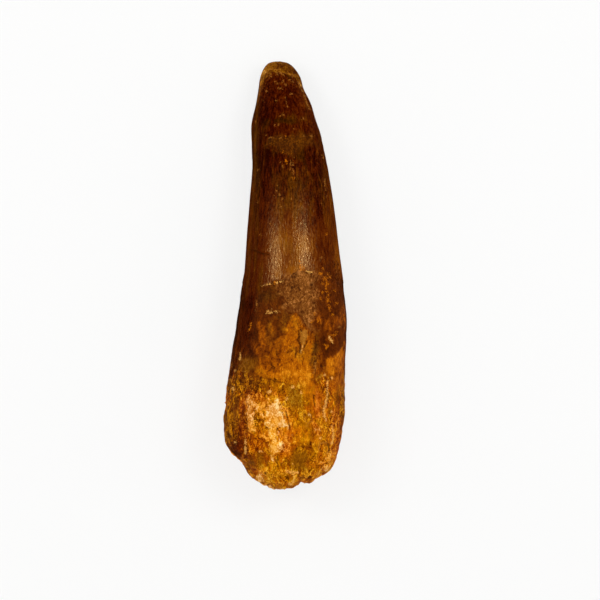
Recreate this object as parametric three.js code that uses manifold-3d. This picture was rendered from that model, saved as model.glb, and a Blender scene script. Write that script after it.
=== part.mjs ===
// A spinosaurus tooth, a fossil in one piece: enamel crown, spalled neck and worn, sandy root.
// Millimetres, +Z up. The tooth lies on its side, on a small flat spot. The tip points along +Y and
// leans to -X, and the face with the sand crust is up. The origin is below the middle of the tooth,
// on the ground.
import * as THREE from 'three';
import { ImprovedNoise } from 'three/addons/math/ImprovedNoise.js';
import { mergeVertices } from 'three/addons/utils/BufferGeometryUtils.js';
import Module from 'manifold-3d';

const { degToRad, smoothstep } = THREE.MathUtils;

// Driving dimensions of the whole tooth.
const LENGTH = 80;
const WIDTH = 23;
const HEIGHT = 19.2;

// Facets: rings from the broken base to the tip, and points around each ring.
const RINGS = 50;
const FLUTES = 20;
const POINTS_PER_FLUTE = 4;
const AROUND = FLUTES * POINTS_PER_FLUTE;

// The outline from above, as [x, y], from the middle of the broken base up each side to the tip.
const LEFT_OUTLINE = [
  [-0.9, -40], [-3, -39.7], [-5, -38.6], [-6.9, -37], [-8, -35.3], [-9.2, -34.1], [-10.4, -33],
  [-11.3, -31], [-11.45, -27], [-11, -21.8], [-9.4, -10.6], [-8.4, -5], [-7.7, 0.6], [-7.1, 7.4],
  [-6.2, 19], [-6.3, 28.4], [-5.6, 31], [-5, 34.4], [-4.6, 37], [-3.8, 38.9], [-1.4, 40],
];
const RIGHT_OUTLINE = [
  [-0.9, -40], [1.4, -39.7], [2.7, -38.9], [4.6, -38.8], [6.7, -37.5], [8.4, -36.3], [9.1, -35],
  [10.5, -30], [10.9, -25.7], [11, -16.2], [11.45, -10], [11.2, -5.5], [9.7, 6.8], [8.7, 15],
  [7.5, 22], [6.7, 25.4], [5.9, 28.4], [5.2, 29.9], [4.7, 32], [3.5, 34.4], [2.8, 36.8],
  [1.6, 38.8], [-1.4, 40],
];

// The outline from the side, as [y, z]: the crest along the top, and the keel along the underside.
// The keel dips below the ground, where the flat spot is cut.
const CREST = [
  [-40, 9.4], [-39.7, 12.4], [-39, 15.4], [-37.4, 17.7], [-34, 18.9], [-28, 19.3], [-20, 19],
  [-10, 17.6], [0, 15.9], [12, 13.9], [22, 11.9], [30, 9.9], [35, 8.2], [38.3, 6.5], [39.7, 5.1],
  [40, 3.8],
];
const KEEL = [
  [-40, 9.4], [-39.6, 6.4], [-38.6, 3.4], [-36.6, 1.2], [-32.5, 0.1], [-26, -0.4], [-16, -0.5],
  [-6, -0.4], [2, 0], [10, 0.4], [20, 0.7], [34, 0.8], [38, 1.2], [39.6, 2.3], [40, 3.8],
];

// Crown: long flutes, a cutting ridge down each side, and a worn, mended band below the tip.
const FLUTE_HEIGHT = 0.08;
const FLUTES_FROM = 2;
const FLUTES_TO = 37;
const FLUTE_FADE = 7;
const RIDGE_HEIGHT = 0.14;
const RIDGE_SPREAD = degToRad(7);
const RIDGES_AT = [degToRad(160), degToRad(-16)];
const BAND_Y = 24.2;
const BAND_HALF = 1.9;
const BAND_DEPTH = 0.16;

// The enamel ends in a low, wavy ledge around the neck, which is sunk below it down to the root.
const LEDGE_Y = -1;
const LEDGE_WAVE = 1.6;
const LEDGE_SLOPE = 1.4;
const NECK_DEPTH = 0.32;

// Root: long lumps that grow towards the base, with a finer grain on them. Its two sides are worn, and
// keep only a share of that height.
const ROOT_FROM = -8;
const ROOT_FULL = -24;
const LUMPS = { height: 0.75, across: 3.4, along: 10 };
const GRAIN = { height: 0.45, across: 1.6, along: 4.2 };
const WORN_SIDES = 0.35;

// Neck: the surface has spalled off in a shallow patch on the top face.
const SPALL = { x: 3, y: -13.4, halfWidth: 4.8, halfLength: 6.8, depth: 0.42 };

// Sand crust on the top face, as strokes from one point to another.
const CRUST_HEIGHT = 0.55;
const CRUST = [
  { from: [-6.4, -22.8], to: [-6.4, -28.9], halfWidth: 0.9 },
  { from: [-6.2, -23], to: [-2.6, -26.4], halfWidth: 0.8 },
  { from: [-1.3, -23.2], to: [-1.7, -26.8], halfWidth: 1.3 },
  { from: [-1.4, -26.9], to: [0.6, -28.2], halfWidth: 0.7 },
  { from: [-1.9, -27.4], to: [-1.9, -30.8], halfWidth: 0.6 },
  { from: [-2, -31.2], to: [-0.8, -32.4], halfWidth: 1.2 },
];

// Pits and chips: on the top face, on the underside, or through the edge on both.
const UP = 1;
const DOWN = -1;
const EDGE = 0;
const DENTS = [
  { x: 3.6, y: 35.2, face: EDGE, radius: 1.6, depth: 0.4 },
  { x: 5.7, y: 29.2, face: EDGE, radius: 1.2, depth: 0.3 },
  { x: -6, y: 26, face: EDGE, radius: 1.3, depth: 0.15 },
  { x: -9.2, y: -35.2, face: EDGE, radius: 4, depth: 0.7 },
  { x: 4, y: -40, face: EDGE, radius: 2, depth: 0.8 },
  { x: -8.6, y: -29.5, face: UP, radius: 2.6, depth: 0.6 },
  { x: -3.6, y: -34, face: UP, radius: 2, depth: 0.45 },
  { x: 4.2, y: -33.6, face: UP, radius: 2.8, depth: 0.45 },
  { x: 6.8, y: -12.5, face: UP, radius: 1.8, depth: 0.3 },
  { x: -4.5, y: -31, face: DOWN, radius: 3, depth: 0.9 },
  { x: 7.5, y: -20, face: DOWN, radius: 2.6, depth: 0.6 },
  { x: 6.5, y: -31, face: DOWN, radius: 2.6, depth: 0.7 },
  { x: -7.5, y: -10, face: DOWN, radius: 2.4, depth: 0.4 },
];

// The break shows the pulp hollow, packed with sand and set a little below its rim.
const HOLLOW = { x: -0.7, y: -35, z: 9.4, halfWidth: 5.2, halfHeight: 4.6, depth: 1.3 };

const COLOUR = 0x7a4410;
const ROUGHNESS = 0.5;

const noise = new ImprovedNoise();

function curveOf(points, place) {
  return new THREE.CatmullRomCurve3(points.map(place), false, 'centripetal');
}

const leftEdge = curveOf(LEFT_OUTLINE, ([x, y]) => new THREE.Vector3(x, y, 0));
const rightEdge = curveOf(RIGHT_OUTLINE, ([x, y]) => new THREE.Vector3(x, y, 0));
const crestLine = curveOf(CREST, ([y, z]) => new THREE.Vector3(0, y, z));
const keelLine = curveOf(KEEL, ([y, z]) => new THREE.Vector3(0, y, z));

// The point of the smooth tooth at a share of its length, and at a turn about its long axis from +X
// through +Z. Each ring is four quarter ellipses between the two edges, the crest and the keel.
function smoothPoint(share, turn) {
  const left = leftEdge.getPointAt(share);
  const right = rightEdge.getPointAt(share);
  const crest = crestLine.getPointAt(share);
  const keel = keelLine.getPointAt(share);
  const middle = new THREE.Vector3(
    (left.x + right.x) / 2,
    (left.y + right.y + crest.y + keel.y) / 4,
    (crest.z + keel.z) / 2,
  );
  const side = Math.cos(turn) > 0 ? right : left;
  const face = Math.sin(turn) > 0 ? crest : keel;
  const sideways = Math.abs(Math.cos(turn));
  const upright = Math.abs(Math.sin(turn));
  return new THREE.Vector3(
    middle.x + sideways * (side.x - middle.x),
    middle.y + sideways * (side.y - middle.y) + upright * (face.y - middle.y),
    middle.z + upright * (face.z - middle.z),
  );
}

// The closed skin of rings and two end points, as one indexed geometry.
function smoothSkin() {
  const points = [smoothPoint(0, 0)];
  for (let ring = 1; ring < RINGS; ring += 1) {
    for (let step = 0; step < AROUND; step += 1) {
      points.push(smoothPoint(ring / RINGS, turnOf(step)));
    }
  }
  points.push(smoothPoint(1, 0));

  const corner = (ring, step) => 1 + (ring - 1) * AROUND + (step % AROUND);
  const basePoint = 0;
  const tipPoint = points.length - 1;
  const faces = [];
  for (let step = 0; step < AROUND; step += 1) {
    faces.push(basePoint, corner(1, step), corner(1, step + 1));
    faces.push(tipPoint, corner(RINGS - 1, step + 1), corner(RINGS - 1, step));
    for (let ring = 1; ring < RINGS - 1; ring += 1) {
      faces.push(corner(ring, step), corner(ring + 1, step), corner(ring + 1, step + 1));
      faces.push(corner(ring, step), corner(ring + 1, step + 1), corner(ring, step + 1));
    }
  }
  const skin = new THREE.BufferGeometry().setFromPoints(points);
  skin.setIndex(faces);
  skin.computeVertexNormals();
  return skin;
}

function turnOf(step) {
  return (2 * Math.PI * step) / AROUND;
}

// 1 within the first distance of a place, falling to 0 at the second.
function within(distance, full, none) {
  return 1 - smoothstep(distance, full, none);
}

function noiseAt(at, { height, across, along }) {
  return height * noise.noise(at.x / across, at.y / along, at.z / across);
}

function distanceToStroke(at, { from, to }) {
  const start = new THREE.Vector2(...from);
  const run = new THREE.Vector2(...to).sub(start);
  const here = new THREE.Vector2(at.x, at.y).sub(start);
  const share = THREE.MathUtils.clamp(here.dot(run) / run.lengthSq(), 0, 1);
  return here.sub(run.multiplyScalar(share)).length();
}

function crownRelief(at, turn) {
  const fluted = smoothstep(at.y, FLUTES_FROM, FLUTES_FROM + FLUTE_FADE)
    * within(at.y, FLUTES_TO - FLUTE_FADE, FLUTES_TO);
  let height = FLUTE_HEIGHT * Math.cos(FLUTES * turn) * fluted;
  for (const ridge of RIDGES_AT) {
    const apart = Math.atan2(Math.sin(turn - ridge), Math.cos(turn - ridge));
    height += RIDGE_HEIGHT * Math.exp(-((apart / RIDGE_SPREAD) ** 2)) * fluted;
  }
  height -= BAND_DEPTH * within(Math.abs(at.y - BAND_Y), BAND_HALF / 2, BAND_HALF);

  const ledge = LEDGE_Y + LEDGE_WAVE * (Math.cos(turn) + Math.sin(3 * turn) / 2);
  const neck = within(at.y, ledge - LEDGE_SLOPE, ledge) * smoothstep(at.y, ROOT_FULL, ROOT_FROM);
  return height - NECK_DEPTH * neck;
}

function rootRelief(at, facing) {
  const rootness = within(at.y, ROOT_FULL, ROOT_FROM);
  const unworn = WORN_SIDES + (1 - WORN_SIDES) * smoothstep(Math.abs(facing.z), 0.1, 0.7);
  const height = rootness * unworn * (noiseAt(at, LUMPS) + noiseAt(at, GRAIN));
  const fromHollow = Math.hypot(
    (at.x - HOLLOW.x) / HOLLOW.halfWidth,
    (at.z - HOLLOW.z) / HOLLOW.halfHeight,
  );
  const onBreak = within(at.y, HOLLOW.y - 1, HOLLOW.y);
  return height - HOLLOW.depth * within(fromHollow, 0.5, 1.1) * onBreak;
}

function markRelief(at, facing) {
  const onTop = smoothstep(facing.z, 0, 0.4);
  const onUnderside = smoothstep(-facing.z, 0, 0.4);
  const fromSpall = Math.hypot(
    (at.x - SPALL.x) / SPALL.halfWidth,
    (at.y - SPALL.y) / SPALL.halfLength,
  );
  const crusted = CRUST.map((stroke) => {
    const distance = distanceToStroke(at, stroke);
    return within(distance, stroke.halfWidth * 0.6, stroke.halfWidth * 1.5);
  });
  let height = onTop * (CRUST_HEIGHT * Math.max(...crusted) - SPALL.depth * within(fromSpall, 0.7, 1.1));
  for (const dent of DENTS) {
    const distance = Math.hypot(at.x - dent.x, at.y - dent.y);
    const onFace = { [UP]: onTop, [DOWN]: onUnderside, [EDGE]: 1 }[dent.face];
    height -= dent.depth * within(distance, dent.radius * 0.3, dent.radius) * onFace;
  }
  return height;
}

// Moves every point of the skin along its own normal, by the relief there.
function addRelief(skin) {
  const places = skin.attributes.position;
  const normals = skin.attributes.normal;
  for (let index = 0; index < places.count; index += 1) {
    const at = new THREE.Vector3().fromBufferAttribute(places, index);
    const facing = new THREE.Vector3().fromBufferAttribute(normals, index);
    const turn = turnOf((index - 1) % AROUND);
    const relief = crownRelief(at, turn) + rootRelief(at, facing) + markRelief(at, facing);
    at.addScaledVector(facing, relief);
    places.setXYZ(index, at.x, at.y, at.z);
  }
}

const wasm = await Module();
wasm.setup();

function toSolid(geometry) {
  const vertProperties = new Float32Array(geometry.attributes.position.array);
  const triVerts = new Uint32Array(geometry.index.array);
  return new wasm.Manifold(new wasm.Mesh({ numProp: 3, vertProperties, triVerts }));
}

function toGeometry(solid) {
  const mesh = solid.getMesh();
  const geometry = new THREE.BufferGeometry();
  geometry.setAttribute('position', new THREE.BufferAttribute(mesh.vertProperties, mesh.numProp));
  geometry.setIndex(new THREE.BufferAttribute(mesh.triVerts, 1));
  return geometry;
}

// A block of ground, as a closed mesh with shared corners.
function groundBlock() {
  const block = new THREE.BoxGeometry(2 * LENGTH, 2 * LENGTH, HEIGHT);
  block.translate(0, 0, -HEIGHT / 2);
  block.deleteAttribute('normal');
  block.deleteAttribute('uv');
  return mergeVertices(block);
}

// Brings the tooth to its driving dimensions, standing on the ground and centred over the origin.
function fitToSize(geometry) {
  geometry.computeBoundingBox();
  const size = geometry.boundingBox.getSize(new THREE.Vector3());
  const centre = geometry.boundingBox.getCenter(new THREE.Vector3());
  geometry.translate(-centre.x, -centre.y, -geometry.boundingBox.min.z);
  geometry.scale(WIDTH / size.x, LENGTH / size.y, HEIGHT / size.z);
}

function toothGeometry() {
  const skin = smoothSkin();
  addRelief(skin);
  const geometry = toGeometry(toSolid(skin).subtract(toSolid(groundBlock())));
  fitToSize(geometry);
  geometry.computeVertexNormals();
  return geometry;
}

const material = new THREE.MeshStandardMaterial({ color: COLOUR, roughness: ROUGHNESS, metalness: 0 });
const tooth = new THREE.Mesh(toothGeometry(), material);
tooth.name = 'tooth';

const part = new THREE.Group();
part.add(tooth);

export default part;
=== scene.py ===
"""A fossil spinosaurus tooth, lying on its side on a pale floor, for Blender 4.5.

The skin is modelled in millimetres over the CAD solid, and marked with painted and carved fields. Each
mark is a drawn outline, stroke or spot, in millimetres (x, y) on the face that is up.
"""
import itertools
import math

import bpy
import numpy as np
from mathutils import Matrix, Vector
from mathutils.bvhtree import BVHTree


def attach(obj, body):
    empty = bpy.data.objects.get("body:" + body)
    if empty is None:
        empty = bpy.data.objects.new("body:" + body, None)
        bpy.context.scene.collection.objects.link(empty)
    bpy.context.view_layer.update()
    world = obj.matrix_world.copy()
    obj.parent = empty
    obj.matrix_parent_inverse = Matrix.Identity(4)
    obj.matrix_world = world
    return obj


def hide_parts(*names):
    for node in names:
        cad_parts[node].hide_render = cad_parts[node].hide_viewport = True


MM = 0.001

# Camera: a long lens, straight down, with lens and sensor in millimetres. The field is the width of the
# square picture at the height of the tooth's middle.
LENS = 300.0
SENSOR = 36.0
NEAREST = 0.01
FARTHEST = 10
FIELD = 111.95 * MM
FIELD_HEIGHT = 9 * MM
VIEW_X = 2.8 * MM
VIEW_Y = -4.7 * MM

# Skin: rows from the base to the tip, and columns around, of which the upper half has more than its
# share. The rays that find the skin start from a spine inside the tooth, and fan out at its two ends.
ROWS = 372
COLUMNS = 256
TOP_SHARE = 0.62
BASE_CENTRE_Y = -31.0
TIP_CENTRE_Y = 36.3
BASE_CAP_ROWS = 62
TIP_CAP_ROWS = 26
SPINE_Y = [-31, -20, -10, 0, 10, 20, 30, 36.3]
SPINE_X = [-0.5, 0.1, 0.9, 1.2, 1.2, 0.9, -0.2, -0.8]
SPINE_Z = [9.4, 9.3, 8.7, 8.0, 7.3, 6.4, 5.3, 4.4]
# How far the solid's facets are smoothed, in rows and columns.
SMOOTH_ROWS = 4.0
SMOOTH_COLUMNS = 5.0


def smooth(value, low, high):
    """0 below low, 1 above high, and a smooth rise between."""
    share = np.clip((value - low) / (high - low), 0, 1)
    return share * share * (3 - 2 * share)


def between(share, first, second):
    """Goes from the first value to the second as the share goes from 0 to 1."""
    return first + share * (second - first)


# ---------------------------------------------------------------- noise

# How many cells each finer layer of the noise is moved by.
OCTAVE_SHIFT = 17.3


def cell_value(cells, seed):
    """A repeatable number from -1 to 1 for each whole cell, stirred by large odd factors."""
    mixed = cells[:, 0] * 73856093 ^ cells[:, 1] * 19349663 ^ cells[:, 2] * 83492791 ^ seed * 26544357
    mixed &= 0x7FFFFFFF
    mixed = (mixed ^ (mixed >> 13)) * 1274126177 & 0x7FFFFFFF
    mixed = (mixed ^ (mixed >> 11)) * 668265263 & 0x7FFFFFFF
    return ((mixed ^ (mixed >> 15)) & 0xFFFF) / 32767.5 - 1


def noise(points, across, along, seed, octaves=1):
    """Smooth noise of about -1 to 1, with cells of two sizes: across the tooth and along it."""
    total = np.zeros(len(points))
    strength = 1.0
    size = np.array([across, along, across])
    for octave in range(octaves):
        place = points / size + OCTAVE_SHIFT * octave
        cells = np.floor(place).astype(np.int64)
        part = place - cells
        part = part * part * (3 - 2 * part)
        for corner in itertools.product((0, 1), repeat=3):
            step = np.array(corner)
            weight = np.prod(np.where(step, part, 1 - part), axis=1)
            total += strength * weight * cell_value(cells + step, seed + octave)
        strength *= 0.5
        size = size * 0.5
    return total


def shake(points, across, along, seeds, octaves):
    """A shift in x and y for each point, of about -1 to 1."""
    return np.stack([noise(points, across, along, seed, octaves) for seed in seeds], axis=1)


# ---------------------------------------------------------------- marks

def segment_distance(places, start, end):
    """Distance in the plane from each place to one line segment."""
    start = np.array(start, float)
    run = np.array(end, float) - start
    length_squared = max(float(run @ run), 1e-9)
    share = np.clip((places - start) @ run / length_squared, 0, 1)
    return np.linalg.norm(places - start - share[:, None] * run, axis=1)


def stroke_depth(places, path, half_width):
    """How deep each place lies inside a stroke, in millimetres, and negative outside."""
    nearest = np.full(len(places), 1e9)
    for start, end in zip(path[:-1], path[1:]):
        nearest = np.minimum(nearest, segment_distance(places, start, end))
    return half_width - nearest


def outline_depth(places, outline):
    """How deep each place lies inside a closed outline, in millimetres, and negative outside."""
    nearest = np.full(len(places), 1e9)
    inside = np.zeros(len(places), bool)
    x = places[:, 0]
    y = places[:, 1]
    for start, end in zip(outline, outline[1:] + outline[:1]):
        nearest = np.minimum(nearest, segment_distance(places, start, end))
        crosses = (start[1] > y) != (end[1] > y)
        rise = end[1] - start[1]
        if rise:
            inside ^= crosses & (x < start[0] + (y - start[1]) * (end[0] - start[0]) / rise)
    return np.where(inside, nearest, -nearest)


def soft_spots(places, spots):
    """The sum of soft patches, each (x, y, half width, half length, amount)."""
    total = np.zeros(len(places))
    for x, y, half_width, half_length, amount in spots:
        far = ((places[:, 0] - x) / half_width) ** 2 + ((places[:, 1] - y) / half_length) ** 2
        total += amount * np.exp(-far)
    return total


# The depth, in millimetres, of all that is far outside a mark.
FAR = -3.0


def depth_in(places, outlines=(), strokes=(), spots=()):
    """How deep each place lies in marks: outlines, strokes (half width, path) and spots (x, y, radius)."""
    depth = np.full(len(places), FAR)
    for outline in outlines:
        depth = np.maximum(depth, outline_depth(places, outline))
    for half_width, path in strokes:
        depth = np.maximum(depth, stroke_depth(places, path, half_width))
    for x, y, radius in spots:
        depth = np.maximum(depth, radius - np.hypot(places[:, 0] - x, places[:, 1] - y))
    return depth


# Tip: a worn, tan cap that runs down the left rim.
CAP_OUTLINES = [
    [(-4.9, 36.2), (-3.9, 37), (-3.2, 37.8), (-2.5, 38.15), (-1, 38.15), (0, 37.9), (1, 37.5), (1.7, 36.9),
     (2.3, 36.6), (3.4, 36.6), (4, 38), (3, 41), (-1, 42), (-5, 41)],
]
CAP_STROKES = [
    (0.32, [(-4.2, 38), (-4.3, 37), (-4.6, 36), (-4.9, 34.5), (-5.3, 32.8)]),
    (0.22, [(2.6, 36.4), (2.9, 35.6), (3.3, 34.9)]),
]

# Worn band below the tip.
BAND_OUTLINES = [
    [(-3.6, 25), (-2.2, 25.3), (-0.5, 25.9), (1.5, 25.9), (3.5, 26.1), (5.5, 26), (5.6, 24.6), (5.1, 24.1),
     (4.6, 23.9), (4, 23.8), (3.3, 23.3), (2.8, 22.8), (2.2, 22.4), (1.4, 22.6), (0.6, 22.4), (0, 22.4),
     (-0.9, 22.6), (-1.5, 22.9), (-2, 23.5), (-2.5, 24), (-3.4, 23.9)],
]

# Enamel edge on the top face, from the left side to the right one.
EDGE_X = [-12, -8.8, -7.2, -6.2, -5.5, -4.9, -3.8, -2.5, -1.3, 0, 0.6, 1.5, 2.5, 4, 5, 6.5, 8, 11]
EDGE_Y = [-18, -17, -14.8, -12, -8, -4.5, -2, -1.6, -1.25, -1.1, -0.9, 0.1, 0.9, 0.7, 0.45, 0, 0.6, 1.4]

# Neck: a rough, purple-brown patch.
MOTTLE_OUTLINES = [
    [(-0.4, -1.2), (1.5, 0.3), (3, 1.1), (5, 0.8), (5.6, -1), (5.6, -3), (5.6, -5.5), (5.7, -7.5),
     (5.4, -9.6), (4, -9.8), (3.4, -8), (1.8, -6.6), (0.3, -5.4)],
]

# Bright orange dentine, laid bare in the middle and at the right edge.
ORANGE_OUTLINES = [
    [(1, -7.8), (2, -7.4), (3.2, -8.2), (4, -9.6), (4.7, -10.4), (4.9, -12), (5.1, -14), (5, -15.2),
     (4.9, -16.2), (5, -17.5), (4.95, -19.2), (5.2, -24), (-1.8, -24), (-2, -18.6), (-1.7, -17.2),
     (-1, -16), (-1.2, -14.5), (-2, -13.6), (-2.3, -12.4), (-1, -11.8), (-0.2, -10.8), (0, -9.6),
     (0.8, -8.8)],
    [(8, -15.6), (9.2, -14.7), (10.3, -13.8), (11.6, -12.8), (12.5, -24), (8.8, -24), (8.3, -18.8),
     (7.9, -17.2)],
]
AMBER_OUTLINES = [
    [(-5.4, -8.7), (-4.6, -8.4), (-4.2, -9.5), (-3.7, -9.8), (-3.3, -11.2), (-2.9, -10.4), (-2.7, -8.7),
     (-2.3, -8.6), (-2.2, -10.6), (-2.6, -11.8), (-2.4, -12.6), (-1.2, -13.6), (-0.6, -16), (-1, -24),
     (-6.5, -24), (-5.6, -18.4), (-5, -16.5), (-5.3, -15), (-5.8, -14.2), (-5.6, -12.8), (-4.9, -12),
     (-5, -10.5)],
    [(9.3, -8.4), (10, -7.6), (12, -6), (12, -9.6), (10.6, -9)],
]

# Dark, glossy patches of the neck: its left margin, a streak and its right margin.
DARK_OUTLINES = [
    [(-9.5, 2.5), (-6.4, 1), (-5.9, -4), (-6.1, -8), (-5.7, -11.8), (-6.1, -14.3), (-7, -14.6),
     (-8.4, -14.4), (-8.7, -16.4), (-9.4, -18.2), (-10.2, -19), (-12, -19.2), (-12, -8)],
    [(6.6, -11.4), (7.6, -12.4), (9.2, -12.8), (10.2, -13.4), (9.6, -14.3), (8.8, -15), (8.2, -16),
     (7.9, -17.4), (7.2, -18.2), (6.6, -17.4), (6.8, -15.6), (7.2, -14), (6.8, -12.8)],
]

# Root: smooth grey-olive and brown patches in the grainy surface.
SMOOTH_OUTLINES = [
    [(0.6, -20.6), (1.5, -20.3), (2.4, -21), (3.1, -22), (3.4, -23.4), (3, -24.5), (2, -25.3), (1, -24.5),
     (0.7, -23), (0.4, -21.8)],
    [(1.2, -33), (2.4, -32.6), (4.2, -33.2), (4.4, -35), (3.6, -36.2), (2.2, -36), (1, -35.4), (0.9, -34)],
    [(-5.1, -32.8), (-3.9, -33), (-3.6, -34.6), (-4.4, -35.4), (-5, -34.4)],
    [(-6.6, -34), (-5.2, -34.2), (-5, -35.4), (-5.8, -35.8), (-6.8, -35.2)],
    [(-8.2, -15.6), (-6.4, -15.2), (-5.4, -16), (-5.4, -17.6), (-6.6, -18), (-8.2, -17.6)],
]

# Root: the pale sand crust, an M with a foot.
CRUST_OUTLINES = [
    [(-6.5, -22.3), (-5.9, -22.9), (-5.6, -23.6), (-4.9, -24.3), (-4.3, -25), (-3.8, -25.6), (-3.6, -26.5),
     (-4, -26.5), (-4.6, -25.7), (-5.2, -25.1), (-5.7, -24.6), (-5.9, -25.5), (-5.6, -26.4), (-5.7, -27.6),
     (-5.5, -28.6), (-5.9, -29.3), (-6.6, -28.8), (-7.1, -28), (-6.8, -26.6), (-7, -25.4), (-6.7, -24.4),
     (-7.2, -23.7), (-7, -23)],
    [(-1.2, -22.7), (-0.8, -23.4), (-0.7, -24.4), (-0.65, -25.2), (-0.3, -26), (0.1, -27), (0.8, -28.3),
     (0.1, -28.2), (-0.6, -28), (-1.3, -28.2), (-1.4, -29.4), (-1.6, -30.6), (-2.9, -30.4), (-3, -29.2),
     (-2.8, -28.2), (-3.5, -28), (-3.9, -27.4), (-3.6, -26.6), (-3.8, -25.7), (-3.4, -25.2), (-3.1, -24.4),
     (-2.6, -23.9), (-1.9, -23.6)],
    [(-2.6, -31), (-1.6, -30.7), (0, -30.8), (-0.3, -31.3), (-0.2, -32), (-0.6, -32.6), (-1.4, -33),
     (-2, -33.4), (-2.2, -34.8), (-2.6, -34.4), (-2.5, -33.2), (-2.7, -32.2)],
    [(-5.4, -37.3), (-4.6, -37), (-4.1, -38), (-4.2, -38.9), (-5, -38.6)],
    [(7.9, -33.2), (8.5, -33.6), (8.4, -34.6), (7.9, -34.4)],
    [(7.2, -35.4), (8, -35), (8.7, -35.2), (8.4, -36.1), (7.4, -36.4), (6.9, -36)],
]
CRUST_STROKES = [
    (0.18, [(-3.1, -22.8), (-2.9, -24.2)]),
    (0.3, [(-4.6, -29.7), (-3.8, -29.9), (-3.2, -30.4)]),
]

# Rust-red stain around the crust and in seams.
RUST_STROKES = [
    (0.45, [(-7.8, -25.4), (-7.3, -23.2), (-6.6, -21.9), (-5, -22.6), (-3.7, -23.9)]),
    (0.4, [(0.1, -25.4), (0.6, -26.6), (1, -28)]),
    (0.6, [(-0.9, -29.2), (0.4, -30.2)]),
    (0.7, [(0.4, -31), (0.1, -32.8)]),
    (0.5, [(6, -22.2), (5.9, -25.8)]),
    (0.3, [(-7.6, -27), (-8, -29), (-8.2, -31.8)]),
    (0.35, [(-3.1, -21), (-2, -22)]),
    (0.35, [(-2.6, -21.8), (-3.9, -24.4)]),
    (0.3, [(9.2, -25.4), (9.3, -27.6)]),
    (0.3, [(9.4, -32.4), (8.6, -33.2)]),
    (0.3, [(5.6, -28), (6.1, -29.6)]),
    (0.3, [(-5.5, -36.4), (-4.2, -37)]),
    (0.3, [(6.6, -33), (6.9, -35)]),
]

# Pale lines, crumbs and chips.
PALE_STROKES = [
    (0.05, [(-4.3, -2.1), (-3.5, -1.85), (-2.5, -1.6)]),
    (0.12, [(-1.5, -1.5), (-0.9, -1.4), (-0.4, -1.2)]),
    (0.06, [(4.1, 0.65), (4.6, 0.55), (5.2, 0.4)]),
    (0.1, [(-3.4, -7.1), (-2.8, -7), (-2.2, -6.9)]),
    (0.02, [(-3.3, -6.7), (-2.4, -6.4)]),
    (0.1, [(-8.4, -14.7), (-8.2, -15.4), (-8.4, -15.9)]),
    (0.1, [(3.3, -13), (3.1, -13.8), (3, -14.4)]),
    (0.16, [(8.3, -11.5), (8.5, -12.1), (8.8, -12.6)]),
    (0.15, [(7.9, -19.6), (7.8, -21.2), (7.9, -22.7), (7.5, -24.2), (7.1, -25.5), (7.3, -26.3), (7.6, -27)]),
    (0.1, [(-7.3, -30.4), (-7.4, -32), (-7.2, -33.3)]),
    (0.15, [(8.7, -28.1), (8.85, -29.6), (8.75, -31.3)]),
    (0.16, [(0.2, -36.35), (1.2, -36.5), (2.3, -36.6)]),
    (0.14, [(1.6, -36.7), (1.7, -37.6), (1.5, -38.4)]),
    (0.08, [(-4.8, -32.7), (-4, -32.6)]),
]
PALE_SPOTS = [
    (-3.9, 38, 0.2), (2.9, 35.5, 0.2), (3.35, 34.6, 0.2), (4.5, 0.55, 0.22), (-1.5, -6.9, 0.18),
    (-9.3, -17.8, 0.14), (7.4, -18.6, 0.2), (8.8, -19.2, 0.18), (1.5, -20.8, 0.25), (-9.6, -21.2, 0.25),
    (-2.9, -21.6, 0.35), (3, -21.8, 0.22), (0.3, -22.9, 0.28), (8.6, -25.4, 0.2), (4.6, -25.9, 0.22),
    (6.4, -28.7, 0.22), (5.7, -28.8, 0.2), (6.7, -30.3, 0.25), (-9.2, -31.2, 0.2), (1, -38.9, 0.3),
]

# Dimmer specks, scratches and lines.
SPECK_STROKES = [
    (0.1, [(-3.9, 37.4), (-3.3, 38.1), (-2.4, 38.5)]),
    (0.06, [(-2.2, 38.5), (-1, 38.5)]),
    (0.06, [(0.4, 37.9), (1.4, 37.4)]),
    (0.14, [(-1.3, 34.8), (-0.6, 34.8)]),
    (0.1, [(-4.4, 37.2), (-4.6, 35.8), (-4.9, 33.6)]),
    (0.12, [(2.4, 36), (2.8, 35.2)]),
    (0.06, [(0.1, 33.2), (0.3, 32.2), (0.5, 31.2)]),
    (0.09, [(3.5, 33.8), (4.2, 31.8), (4.6, 30.8)]),
    (0.07, [(-0.8, 29.6), (-0.1, 30)]),
    (0.06, [(-2, 27.9), (-1.2, 28.1)]),
    (0.07, [(-3.2, 25.4), (-2.2, 25.75)]),
    (0.06, [(-1.2, 25.4), (-0.5, 25.6)]),
    (0.04, [(1.05, 21.2), (1.05, 19.6)]),
    (0.04, [(1.5, 21), (1.6, 18.5)]),
    (0.09, [(7.35, 17.8), (7.45, 16.5)]),
    (0.08, [(-1.6, -6.8), (-0.8, -6.95)]),
    (0.05, [(-5.3, -4.8), (-5.3, -5.8), (-5.4, -6.6)]),
    (0.1, [(5.8, -16), (5.6, -17), (5.4, -18.4)]),
    (0.09, [(3.5, -25.5), (3.7, -26.6), (3.9, -27.2)]),
    (0.09, [(5.1, -27.1), (4.3, -27.5), (3.7, -28.2)]),
    (0.09, [(4.4, -25.4), (4.9, -26.2), (5.1, -27.1)]),
    (0.1, [(6.3, -31), (6.4, -32.6)]),
    (0.1, [(7.7, -31.1), (6.7, -31.2), (6.2, -32.2)]),
]
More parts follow.
